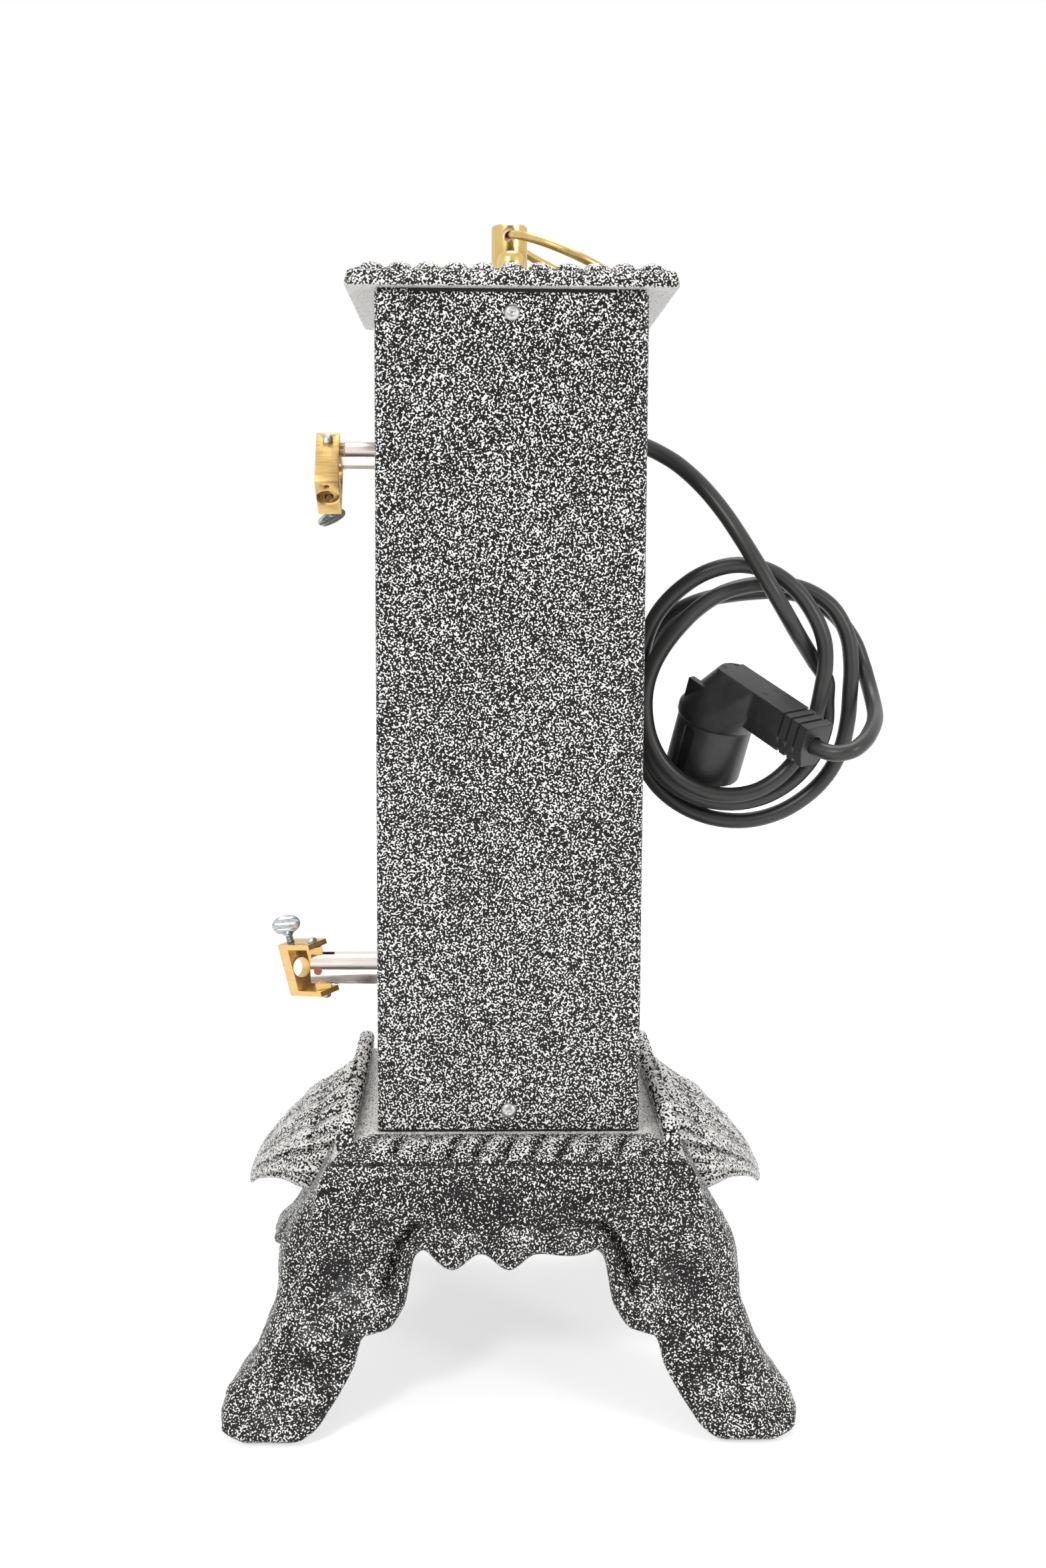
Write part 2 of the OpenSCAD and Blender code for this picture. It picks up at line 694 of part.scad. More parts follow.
module terminal_block() {
    x1 = hx - cover_t - 0.1 - panel_t;
    color([0.85, 0.84, 0.80]) difference() {
        translate([x1 - 15, -18, block_low]) cube([15, 36, 17]);
        for (y = [-12, 0, 12]) {
            translate([x1 - 7, y, block_low - 1]) cylinder(d = 4.4, h = 19, $fn = 24);
            translate([x1 - 16, y, block_low + 8.5]) rotate([0, 90, 0]) cylinder(d = 5, h = 5, $fn = 24);
        }
    }
}

// The end of the cord inside the tower, from the gland down to the terminals
LEAD_IN = [[hx - cover_t - 8.1, 0, cord_z], [44, 0, 432.4], [38.5, 0, 430], [36, 0, 423], [37, 0, 412], [41, 0, 400],
    [45, 0, 390], [47, 0, 382], [47.3, 0, 377]];

module inner_lead() {
    color(black) tube(LEAD_IN, 6.4, 8);
}

// The gland snaps into the rear panel, and its nose points down and outward
nose_len = 6;
nose_tilt = 24;
gland_x = hx - cover_t - 0.1;
nose_dir = [cos(nose_tilt), 0, -sin(nose_tilt)];
nose_end = [gland_x, 0, cord_z] + nose_len * nose_dir;
module cord_gland() {
    color(black) translate([gland_x, 0, cord_z]) {
        rotate([0, 90, 0]) rotate_extrude($fn = 48)
            polygon([[0, -8], [5, -8], [5.6, -4.5], [7.2, -panel_t], [6.5, -panel_t], [6.5, 0],
                [9, 0], [9, 1.2], [8.6, 1.6], [0, 1.6]]);
        hull() {
            along_x(15.4, 1, 1.6, 48);
            rotate([0, 90 + nose_tilt, 0]) translate([0, 0, nose_len - 1]) cylinder(d = 11.6, h = 1, $fn = 48);
        }
    }
}

// A tube swept along a list of points, with its rings square to the path
function unit(v) = v / norm(v);
function slope(P, i) = unit(i == 0 ? P[1] - P[0] : i == len(P) - 1 ? P[i] - P[i - 1]
    : unit(P[i + 1] - P[i]) + unit(P[i] - P[i - 1]));
function sweep_ring(P, i, r, n, up) = let (t = slope(P, i), s = unit(cross(t, up)), u = cross(s, t))
    [for (k = [0:n - 1]) let (a = 360 * k / n) P[i] + r * (cos(a) * s + sin(a) * u)];

module tube(P, d, n, up = [0, 1, 0]) {
    polyhedron(points = [for (i = [0:len(P) - 1]) for (p = sweep_ring(P, i, d / 2, n, up)) p],
        faces = skin_faces(n, len(P)), convexity = 10);
}

// Smooth curve through the values of a table, one value for each eighth of a turn
function knot(T, i) = T[max(0, min(len(T) - 1, i))];
function smooth(T, u) = let (i = floor(u), s = u - i, a = knot(T, i - 1), b = knot(T, i),
        c = knot(T, i + 1), d = knot(T, i + 2))
    b + (c - a) * s / 2 + (a - 2.5 * b + 2 * c - d / 2) * s * s + (1.5 * (b - c) + (d - a) / 2) * s * s * s;

// The coil winds clockwise as seen from the near side. REACH is the radius of each eighth of a
// turn, and LAYER says how many layers it lies behind the middle one
coil_c = [112, 313];
REACH = [34, 40.5, 46.5, 52, 54, 48, 56.5, 61.5, 48.5, 36, 38.5, 47, 50, 47, 45, 51.5, 59.5, 52, 57.5,
    61.5, 59, 48, 50, 48, 58.5, 61.5, 60];
LAYER = [0, 0, 0, 0, 0, 0, -0.2, -0.9, -1.05, -1, -1, -1, -1, -1, -0.9, -0.1, 0, 0, 0.1, 0.45,
    0.9, 1, 1, 1, 1, 1, 1];
coil_first = 0.01;
coil_last = 2.93;
function coil_point(t) = let (u = 8 * t + 1, a = -360 * t, r = smooth(REACH, u))
    [coil_c[0] + r * cos(a), coil_step * smooth(LAYER, u), coil_c[1] + r * sin(a)];
TURNS = [for (i = [0:72]) coil_point(coil_first + (coil_last - coil_first) * i / 72)];

// From the last turn the cord comes forward, bends round and ends inside the plug's arm
COIL_END = [[171.4, 8, 327.5], [173.2, 4, 319.4], [173.9, -2.4, 312.8], [173.4, -11.2, 308],
    [171.9, -21, 304.8], [169.3, -31, 302], [165.8, -40.3, 299], [161.2, -48.4, 295.2],
    [154.6, -53.6, 291.6], [146.8, -52.8, 290.2], [140.2, -47.9, 292], [134.1, -40.6, 296.3]];
COIL = concat(TURNS, COIL_END);

module cord_coil() {
    color(black) tube(COIL, cord_d, 6);
}

// The cord hangs from the gland, passes in front of the coil and goes behind its second turn
LEAD = concat([nose_end, nose_end + 8 * nose_dir, [80.3, -1.2, 420.9], [91, -4.6, 411],
    [100.5, -10, 399], [108.5, -15, 386.5], [116.4, -17.9, 373.6], [124, -18.4, 361.2],
    [130.8, -15.4, 350.6], [136.8, -10, 341.9], [142.2, -3.8, 334.9], [147.2, 0.3, 328.2], [151, 0.3, 323]],
    [COIL[0] - 8 * unit(COIL[1] - COIL[0]), COIL[0]]);

module cord_lead() {
    color(black) tube(LEAD, cord_d, 8);
}

// Least gap of the cord to itself, between points more than four diameters apart along it
function path_gap(P, skip) = min([for (i = [0:len(P) - 1 - skip]) for (j = [i + skip:len(P) - 1])
    norm(P[i] - P[j])]) - cord_d;
echo(least_gap_of_coil = path_gap(COIL, 7));
echo(least_gap_of_lead = min([for (p = [for (i = [0:len(LEAD) - 4]) LEAD[i]])
    for (q = [for (i = [6:len(COIL) - 1]) COIL[i]]) norm(p - q)]) - cord_d);

// Angled plug: a round body with clip grooves, a roof over it, and an arm that holds the cord
plug_r = 18.3;
plug_h = 56;
arm_len = 61;
arm_w = 8.5;
module at_plug() {
    translate([95.4, 14, 276.1]) rotate([6, 24, -50.4]) children();
}

module arm_section(inset) {
    polygon([[-arm_w + inset, plug_h - inset], [arm_w - inset, plug_h - inset], [arm_w - inset, 44],
        [5.5 - inset, 35.5 + inset], [-5.5 + inset, 35.5 + inset], [-arm_w + inset, 44]]);
}

module plug_body() {
    last = len(COIL) - 1;
    color(black) difference() {
        plug_mould();
        tube([COIL[last - 1], COIL[last] + 0.2 * unit(COIL[last] - COIL[last - 1])], cord_d + 0.1, 24);
    }
}

module plug_mould() {
    at_plug() difference() {
        union() {
            cylinder(r = plug_r, h = 34, $fn = 64);
            hull() {
                translate([0, 0, 29]) cylinder(r = plug_r + 1, h = 4, $fn = 32);
                translate([5, 0, plug_h - 1]) cylinder(r = arm_w, h = 1, $fn = 24);
                translate([24, -arm_w, plug_h - 1]) cube([1, 2 * arm_w, 1]);
                translate([24, -arm_w, 42]) cube([1, 2 * arm_w, 1]);
            }
            rotate([90, 0, 90]) linear_extrude(height = arm_len) arm_section(0);
        }
        for (x = [45, 50, 55]) rotate([90, 0, 90]) translate([0, 0, x]) linear_extrude(height = 1.4)
            difference() {
                translate([-15, 30]) square([30, 40]);
                arm_section(1.6);
            }
        for (s = [-1, 1]) translate([-4, s * (plug_r + 1) - 4, -1]) cube([8, 8, 27]);
        translate([0, 10, -1]) cylinder(d = 5.2, h = 17, $fn = 32);
        for (s = [-1, 1]) translate([9.5 * s, 0, -1]) cylinder(d = 4.8, h = 11, $fn = 32);
    }
}

module plug_pins() {
    color(nickel) at_plug() for (s = [-1, 1]) translate([9.5 * s, 0, 0]) rotate_extrude($fn = 32)
        polygon([[0, -19], [1.4, -19], [2.4, -17.6], [2.4, 10], [0, 10]]);
}

stand();
bottom_plate();
top_plate();
front_panel();
rear_panel();
side_cover_near();
side_cover_far();
cover_rivets();
cap();
cap_stud();
carrying_ring();
cap_nuts();
tie_rods();
tie_rod_nuts();
gear_frame();
front_bushes();
rear_bushes();
idler_axles();
axle_clips();
gear_motor();
motor_screws();
motor_shaft();
drive_gear();
lower_idler();
upper_idler();
lower_shaft();
lower_gear();
lower_collar();
lower_cross_pin();
lower_block();
lower_pivot_screws();
lower_yoke();
lower_thumb_screw();
upper_shaft();
upper_gear();
upper_collar();
upper_cross_pin();
upper_block();
upper_pivot_screws();
upper_yoke();
upper_thumb_screw();
terminal_block();
inner_lead();
cord_gland();
cord_lead();
cord_coil();
plug_body();
plug_pins();
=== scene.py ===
import math

import bmesh
import bpy
import numpy as np
from mathutils import Euler, Matrix, Vector, noise


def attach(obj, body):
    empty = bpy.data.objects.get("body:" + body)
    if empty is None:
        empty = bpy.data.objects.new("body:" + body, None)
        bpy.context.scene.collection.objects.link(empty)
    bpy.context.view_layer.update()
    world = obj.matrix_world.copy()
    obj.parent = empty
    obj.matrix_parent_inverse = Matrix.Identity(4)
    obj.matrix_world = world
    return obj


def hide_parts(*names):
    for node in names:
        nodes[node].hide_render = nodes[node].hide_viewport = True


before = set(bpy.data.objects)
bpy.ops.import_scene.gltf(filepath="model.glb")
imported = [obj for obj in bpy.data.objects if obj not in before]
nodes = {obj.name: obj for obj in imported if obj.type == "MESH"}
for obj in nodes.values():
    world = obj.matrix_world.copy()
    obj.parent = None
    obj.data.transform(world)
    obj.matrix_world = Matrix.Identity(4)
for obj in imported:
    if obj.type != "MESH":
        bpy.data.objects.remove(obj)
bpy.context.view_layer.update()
MM = 0.001

# --- Camera: the near side seen from the height of the tower's middle, a little below the cap
camera_at = Vector((-0.0151, -0.8716, 0.37305))
YAW, PITCH, ROLL = 0.026, 0.118, 0.005
ahead = Vector((math.sin(YAW) * math.cos(PITCH), math.cos(YAW) * math.cos(PITCH), -math.sin(PITCH)))
level = Vector((math.cos(YAW), -math.sin(YAW), 0))
above = level.cross(ahead)
right = level * math.cos(ROLL) + above * math.sin(ROLL)
up = above * math.cos(ROLL) - level * math.sin(ROLL)
lens = bpy.data.cameras.new("camera")
lens.sensor_fit = "VERTICAL"
lens.sensor_height = 36
lens.lens = 42.01
camera = bpy.data.objects.new("camera", lens)
camera.matrix_world = Matrix((
    (right.x, up.x, -ahead.x, camera_at.x), (right.y, up.y, -ahead.y, camera_at.y),
    (right.z, up.z, -ahead.z, camera_at.z), (0, 0, 0, 1)))
bpy.context.scene.collection.objects.link(camera)
bpy.context.scene.camera = camera
bpy.context.scene.view_settings.view_transform = "Standard"


# --- Mains cord: 7.6 mm black PVC, from the gland in the rear panel into a coil of three turns.
# It is extruded in one length, so it is one smooth tube from the panel to the plug.
def linear(code):
    """A colour written as sRGB hex, turned to linear light."""
    parts = [int(code[i:i + 2], 16) / 255 for i in (1, 3, 5)]
    return tuple(c / 12.92 if c <= 0.04045 else ((c + 0.055) / 1.055) ** 2.4 for c in parts) + (1,)


def add(tree, kind, values=None, links=None, **settings):
    """One node with its settings, the values of its sockets and its incoming links."""
    made = tree.nodes.new(kind)
    for key, value in settings.items():
        setattr(made, key, value)
    for key, value in (values or {}).items():
        made.inputs[key].default_value = value
    for key, source in (links or {}).items():
        tree.links.new(source, made.inputs[key])
    return made


def new_finish(name, **sockets):
    """A material and its shader, with the constants set on the shader's own sockets."""
    finish = bpy.data.materials.new(name)
    finish.use_nodes = True
    shader = finish.node_tree.nodes["Principled BSDF"]
    for key, value in sockets.items():
        shader.inputs[key.replace("_", " ")].default_value = value
    place = add(finish.node_tree, "ShaderNodeTexCoord").outputs["Object"]
    return finish, finish.node_tree, shader, place


def tones(tree, source, *stops):
    """A colour ramp through stops of place and hex colour."""
    made = add(tree, "ShaderNodeValToRGB", links={"Fac": source})
    ramp = made.color_ramp
    while len(ramp.elements) < len(stops):
        ramp.elements.new(0.5)
    for spot, (at, code) in zip(ramp.elements, stops):
        spot.position = at
        spot.color = linear(code)
    return made.outputs["Color"]


def link_mesh(name, mesh, finish, smooth_angle=40):
    """An object for a finished mesh, smooth up to an angle."""
    piece = bpy.data.objects.new(name, mesh)
    bpy.context.scene.collection.objects.link(piece)
    mesh.materials.clear()
    mesh.materials.append(finish)
    mesh.polygons.foreach_set("use_smooth", [True] * len(mesh.polygons))
    if smooth_angle < 180:
        mesh.set_sharp_from_angle(angle=math.radians(smooth_angle))
    mesh.update()
    return piece


cord_d = 7.6
panel_out = 57.7
cord_z = 432.6
nose_len = 6
nose_tilt = math.radians(24)
nose_dir = Vector((math.cos(nose_tilt), 0, -math.sin(nose_tilt)))
nose_end = Vector((panel_out, 0, cord_z)) + nose_len * nose_dir
coil_centre = (112, 313)
coil_step = 9
coil_first, coil_last = 0.01, 2.93
REACH = [34, 40.5, 46.5, 52, 54, 48, 56.5, 61.5, 48.5, 36, 38.5, 47, 50, 47, 45, 51.5, 59.5, 52, 57.5,
         61.5, 59, 48, 50, 48, 58.5, 61.5, 60]
LAYER = [0, 0, 0, 0, 0, 0, -0.2, -0.9, -1.05, -1, -1, -1, -1, -1, -0.9, -0.1, 0, 0, 0.1, 0.45,
         0.9, 1, 1, 1, 1, 1, 1]
COIL_END = [(171.4, 8, 327.5), (173.2, 4, 319.4), (173.9, -2.4, 312.8), (173.4, -11.2, 308),
            (171.9, -21, 304.8), (169.3, -31, 302), (165.8, -40.3, 299), (161.2, -48.4, 295.2),
            (154.6, -53.6, 291.6), (146.8, -52.8, 290.2), (140.2, -47.9, 292), (134.1, -40.6, 296.3)]
LEAD = [(80.3, -1.2, 420.9), (91, -4.6, 411), (100.5, -10, 399), (108.5, -15, 386.5),
        (116.4, -17.9, 373.6), (124, -18.4, 361.2), (130.8, -15.4, 350.6), (136.8, -10, 341.9),
        (142.2, -3.8, 334.9), (147.2, 0.3, 328.2), (151, 0.3, 323)]


def smooth_value(table, u):
    """The value of a smooth curve through a table at place u."""
    i = math.floor(u)
    s = u - i
    a, b, c, d = (table[max(0, min(len(table) - 1, i + k))] for k in (-1, 0, 1, 2))
    return (b + (c - a) * s / 2 + (a - 2.5 * b + 2 * c - d / 2) * s * s
            + (1.5 * (b - c) + (d - a) / 2) * s ** 3)


def coil_point(t):
    u = 8 * t + 1
    a = math.radians(-360 * t)
    r = smooth_value(REACH, u)
    return (coil_centre[0] + r * math.cos(a), coil_step * smooth_value(LAYER, u),
            coil_centre[1] + r * math.sin(a))


turns = [coil_point(coil_first + (coil_last - coil_first) * i / 72) for i in range(73)]
lead_in = Vector(turns[0]) - 8 * (Vector(turns[1]) - Vector(turns[0])).normalized()
route = [nose_end, nose_end + 8 * nose_dir] + [Vector(p) for p in LEAD + [lead_in] + turns + COIL_END]


def catmull(points, steps):
    """A smooth curve through the points, with a number of steps between each two."""
    out = []
    for i in range(len(points) - 1):
        p = [points[max(0, min(len(points) - 1, i + k))] for k in (-1, 0, 1, 2)]
        for j in range(steps):
            s = j / steps
            out.append(0.5 * (2 * p[1] + (p[2] - p[0]) * s
                       + (2 * p[0] - 5 * p[1] + 4 * p[2] - p[3]) * s * s
                       + (3 * p[1] - 3 * p[2] + p[3] - p[0]) * s ** 3))
    return out + [points[-1]]


def tube_mesh(name, points, radius, sides):
    """A closed tube round a list of points in mm; its frame is carried along, so that it doesn't twist."""
    pts = [Vector(p) * MM for p in points]
    mesh = bmesh.new()
    rings = []
    side = None
    for i, p in enumerate(pts):
        t = (pts[min(i + 1, len(pts) - 1)] - pts[max(i - 1, 0)]).normalized()
        side = t.orthogonal().normalized() if side is None else (side - side.dot(t) * t).normalized()
        across = t.cross(side)
        rings.append([mesh.verts.new(p + radius * MM * (math.cos(a) * side + math.sin(a) * across))
                      for a in (2 * math.pi * k / sides for k in range(sides))])
    for one, two in zip(rings, rings[1:]):
        for k in range(sides):
            mesh.faces.new((one[k], one[(k + 1) % sides], two[(k + 1) % sides], two[k]))
    mesh.faces.new(rings[0][::-1])
    mesh.faces.new(rings[-1])
    bmesh.ops.recalc_face_normals(mesh, faces=mesh.faces)
    made = bpy.data.meshes.new(name)
    mesh.to_mesh(made)
    mesh.free()
    return made


fine_route = catmull(route, 5)

# Extruded black PVC with a satin skin: it gives a soft grey streak along its upper side
cord_skin, tree, shader, place = new_finish("extruded_pvc_cord", Roughness=0.44, Coat_Weight=0.2,
                                            Coat_Roughness=0.24)
grime = add(tree, "ShaderNodeTexNoise", {"Scale": 90, "Detail": 3}, {"Vector": place})
tree.links.new(tones(tree, grime.outputs["Fac"], (0.25, "#1f1e1e"), (0.8, "#2f2d2b")),
               shader.inputs["Base Color"])
grain = add(tree, "ShaderNodeTexNoise", {"Scale": 1600, "Detail": 2}, {"Vector": place})
relief = add(tree, "ShaderNodeBump", {"Strength": 0.15, "Distance": 0.00005},
             {"Height": grain.outputs["Fac"]})
tree.links.new(relief.outputs["Normal"], shader.inputs["Normal"])

cord = link_mesh("mains_cord", tube_mesh("mains_cord", fine_route, cord_d / 2, 16), cord_skin)

# --- Plug: moulded black PVC, two pins, with an arm at a right angle that holds the cord.
# The body is one moulding; the arm has three grooves across it.
plug_r = 18.3
plug_h = 56
arm_len = 61
arm_w = 8.5
plug_place = (Matrix.Translation(Vector((95.4, 14, 276.1)) * MM)
              @ Euler([math.radians(a) for a in (6, 24, -50.4)]).to_matrix().to_4x4()
              @ Matrix.Scale(MM, 4))


def disc(mesh, r, z0, z1, x=0, y=0, sides=64, turn=None):
    """A closed cylinder in mm, upright unless it is turned."""
    made = bmesh.ops.create_cone(mesh, cap_ends=True, segments=sides, radius1=r, radius2=r,
                                 depth=z1 - z0)["verts"]
    bmesh.ops.translate(mesh, verts=made, vec=(x, y, (z0 + z1) / 2))
    if turn:
        bmesh.ops.transform(mesh, verts=made, matrix=turn)
    return made


def block(mesh, low, high):
    """A closed box in mm."""
    made = bmesh.ops.create_cube(mesh, size=1)["verts"]
    for v in made:
        v.co = Vector([low[i] + (v.co[i] + 0.5) * (high[i] - low[i]) for i in range(3)])
    return made


def solid_object(name, *builds):
    """One object from several closed solids, each made by its own function."""
    whole = bmesh.new()
    for build in builds:
        mesh = bmesh.new()
        build(mesh)
        bmesh.ops.recalc_face_normals(mesh, faces=mesh.faces)
        made = bpy.data.meshes.new(name)
        mesh.to_mesh(made)
        mesh.free()
        whole.from_mesh(made)
        bpy.data.meshes.remove(made)
    made = bpy.data.meshes.new(name)
    whole.to_mesh(made)
    whole.free()
    piece = bpy.data.objects.new(name, made)
    bpy.context.scene.collection.objects.link(piece)
    return piece


def applied(piece):
    """The piece with its modifiers applied, as a plain mesh."""
    bpy.context.view_layer.update()
    made = bpy.data.meshes.new_from_object(piece.evaluated_get(bpy.context.evaluated_depsgraph_get()))
    piece.modifiers.clear()
    old = piece.data
    piece.data = made
    bpy.data.meshes.remove(old)
    made.name = piece.name
    return piece


def cut(piece, cutter):
    """Takes the cutter out of the piece."""
    step = piece.modifiers.new("cut", "BOOLEAN")
    step.object = cutter
    step.operation = "DIFFERENCE"
    step.solver = "EXACT"
    step.use_self = True
    applied(piece)
    bpy.data.objects.remove(cutter)
    return piece


def moulded(piece, voxel, rounds):
    """Melts overlapping solids into one skin with soft edges."""
    melt = piece.modifiers.new("melt", "REMESH")
    melt.mode = "VOXEL"
    melt.voxel_size = voxel
    ease = piece.modifiers.new("ease", "SMOOTH")
    ease.factor = 0.5
    ease.iterations = rounds
    return applied(piece)


def roof(mesh):
    made = disc(mesh, plug_r + 0.9, 29, 33) + disc(mesh, arm_w, plug_h - 1, plug_h, x=5, sides=32)
    made += block(mesh, (24, -arm_w, plug_h - 1), (25, arm_w, plug_h))
    made += block(mesh, (24, -arm_w, 42), (25, arm_w, 43))
    hull = bmesh.ops.convex_hull(mesh, input=made)
    bmesh.ops.delete(mesh, geom=list({g for g in hull["geom_interior"] + hull["geom_unused"]
                                      if isinstance(g, bmesh.types.BMVert)}), context="VERTS")


def skirt(mesh):
    disc(mesh, plug_r, 0, 34)


def arm(mesh):
    outline = [(-arm_w, plug_h), (-arm_w, 44), (-5.5, 35.5), (5.5, 35.5), (arm_w, 44), (arm_w, plug_h)]
    rings = [[mesh.verts.new((x, y, z)) for y, z in outline] for x in (0, arm_len)]
    for i in range(6):
        mesh.faces.new((rings[0][i], rings[0][(i + 1) % 6], rings[1][(i + 1) % 6], rings[1][i]))
    mesh.faces.new(rings[0][::-1])
    mesh.faces.new(rings[1])


def near_grip(mesh):
    block(mesh, (-12, -13.2, 33), (13, -9.4, 46))


def far_grip(mesh):
    block(mesh, (-12, 9.4, 33), (13, 13.2, 46))


def hollows(mesh):
    for x in (45, 50, 55):
        for low, high in (((x, -15, plug_h - 1.6), (x + 1.4, 15, plug_h + 5)),
                          ((x, -15, 30), (x + 1.4, -arm_w + 1.6, plug_h + 5)),
                          ((x, arm_w - 1.6, 30), (x + 1.4, 15, plug_h + 5)),
                          ((x, -15, 30), (x + 1.4, 15, 37.1))):
            block(mesh, low, high)
    for s in (-1, 1):
        block(mesh, (-4, s * (plug_r + 1) - 4, -1), (4, s * (plug_r + 1) + 4, 26))
    disc(mesh, 2.6, -1, 16, y=10, sides=32)
    for x, y in ((0, -4), (0, 4), (28, -4), (28, 4)):
        disc(mesh, 1.1, plug_h - 1.2, plug_h + 1, x=x, y=y, sides=24)
    inner, outer = (plug_place.inverted() @ (p * MM) for p in (route[-1], route[-2]))
    bore = (outer - inner).to_track_quat("Z", "Y").to_matrix().to_4x4()
    bore.translation = inner
    disc(mesh, cord_d / 2 + 0.1, -0.2, 16, sides=32, turn=bore)


plug = solid_object("plug", skirt, arm, roof, near_grip, far_grip)
cut(plug, solid_object("hollows", hollows))
moulded(plug, 0.5, 3)
plug.data.transform(plug_place)

# Moulded PVC: satin, with the fine spark texture of its mould and paler dust scattered over it
plug_skin, tree, shader, place = new_finish("moulded_pvc_plug", Roughness=0.42, Coat_Weight=0.15,
                                            Coat_Roughness=0.3)
dust = add(tree, "ShaderNodeTexNoise", {"Scale": 60, "Detail": 5, "Roughness": 0.6}, {"Vector": place})
tree.links.new(tones(tree, dust.outputs["Fac"], (0.35, "#1f1e1e"), (0.75, "#3a3838")),
               shader.inputs["Base Color"])
spark = add(tree, "ShaderNodeTexNoise", {"Scale": 1900, "Detail": 3}, {"Vector": place})
relief = add(tree, "ShaderNodeBump", {"Strength": 0.5, "Distance": 0.00012},
             {"Height": spark.outputs["Fac"]})
tree.links.new(relief.outputs["Normal"], shader.inputs["Normal"])
plug.data.materials.clear()
plug.data.materials.append(plug_skin)
plug.data.polygons.foreach_set("use_smooth", [True] * len(plug.data.polygons))
plug.data.set_sharp_from_angle(angle=math.radians(50))

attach(cord, "tower")
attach(plug, "tower")
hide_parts("cord_lead", "cord_coil")
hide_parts("plug_body")


def dress(names, finish):
    """Gives CAD nodes their finish."""
    for name in names:
        nodes[name].data.materials.clear()
        nodes[name].data.materials.append(finish)


dress(["cord_gland"], plug_skin)
dress(["inner_lead"], cord_skin)

# --- Room: a pale floor and soft lamps, as in a light tent.
# The world is white to the camera and to polished metal; straight towards the camera it is dark, as
# a tent's opening is, so that brass and nickel show a dark line and their edges.
sky = bpy.data.worlds.new("light_tent")
bpy.context.scene.world = sky
sky.use_nodes = True
tree = sky.node_tree
tree.nodes.clear()
path = add(tree, "ShaderNodeLightPath").outputs
heading = add(tree, "ShaderNodeTexCoord").outputs["Generated"]
parts = add(tree, "ShaderNodeSeparateXYZ", links={"Vector": heading}).outputs
front = add(tree, "ShaderNodeMapRange", {"From Min": -0.985, "From Max": -0.84, "To Min": 0.1, "To Max": 1},
            {"Value": parts["Y"]}, interpolation_type="SMOOTHSTEP")
seen = add(tree, "ShaderNodeMath", {1: 0.5}, {0: path["Is Camera Ray"]}, operation="GREATER_THAN")
gloss = add(tree, "ShaderNodeMath", {}, {0: path["Is Glossy Ray"], 1: path["Is Transmission Ray"]},
            operation="MAXIMUM")
soft = add(tree, "ShaderNodeMix", {"A": 0.5}, {"Factor": gloss.outputs[0], "B": front.outputs["Result"]},
           data_type="FLOAT")
level_out = add(tree, "ShaderNodeMix", {"B": 1.0}, {"Factor": seen.outputs[0], "A": soft.outputs["Result"]},
                data_type="FLOAT")
glow = add(tree, "ShaderNodeBackground", {"Color": (1, 1, 1, 1)}, {"Strength": level_out.outputs["Result"]})
add(tree, "ShaderNodeOutputWorld", links={"Surface": glow.outputs["Background"]})

for name, spot, size, power in (("left_lamp", (-0.8, -1.5, 1.3), 0.4, 12.0),
                                ("right_lamp", (1.2, -1.2, 0.8), 0.4, 6.0),
                                ("top_lamp", (0.1, 0.3, 1.8), 1.0, 10.0)):
    lamp = bpy.data.lights.new(name, "AREA")
    lamp.shape = "DISK"
    lamp.size = size
    lamp.energy = power
    held = bpy.data.objects.new(name, lamp)
    held.location = spot
    held.rotation_euler = (Vector((0, 0, 0.25)) - Vector(spot)).to_track_quat("-Z", "Y").to_euler()
    bpy.context.scene.collection.objects.link(held)

# Seamless white paper: it glows a little to the camera, so that it clips to white where no shadow is
paper, tree, shader, place = new_finish("white_paper", Roughness=0.9, Specular_IOR_Level=0.1)
shader.inputs["Base Color"].default_value = linear("#e6e6e6")
shader.inputs["Emission Color"].default_value = (1, 1, 1, 1)
path = add(tree, "ShaderNodeLightPath").outputs
direct = add(tree, "ShaderNodeMath", {}, {0: path["Is Camera Ray"], 1: path["Is Glossy Ray"]},
             operation="MAXIMUM")
direct = add(tree, "ShaderNodeMath", {}, {0: direct.outputs[0], 1: path["Is Transmission Ray"]},
             operation="MAXIMUM")
reach = add(tree, "ShaderNodeVectorMath", links={0: place}, operation="LENGTH").outputs["Value"]
lift = add(tree, "ShaderNodeMapRange", {"From Min": 0.12, "From Max": 0.9, "To Min": 0.6, "To Max": 0.8},
           {"Value": reach}).outputs["Result"]
share = add(tree, "ShaderNodeMath", links={0: direct.outputs[0], 1: lift}, operation="MULTIPLY")
tree.links.new(share.outputs[0], shader.inputs["Emission Strength"])
floor_mesh = bpy.data.meshes.new("floor")
half = 8.0
floor_mesh.from_pydata([(-half, -half, 0), (half, -half, 0), (half, half, 0), (-half, half, 0)], [],
                       [(0, 1, 2, 3)])
floor = link_mesh("floor", floor_mesh, paper)

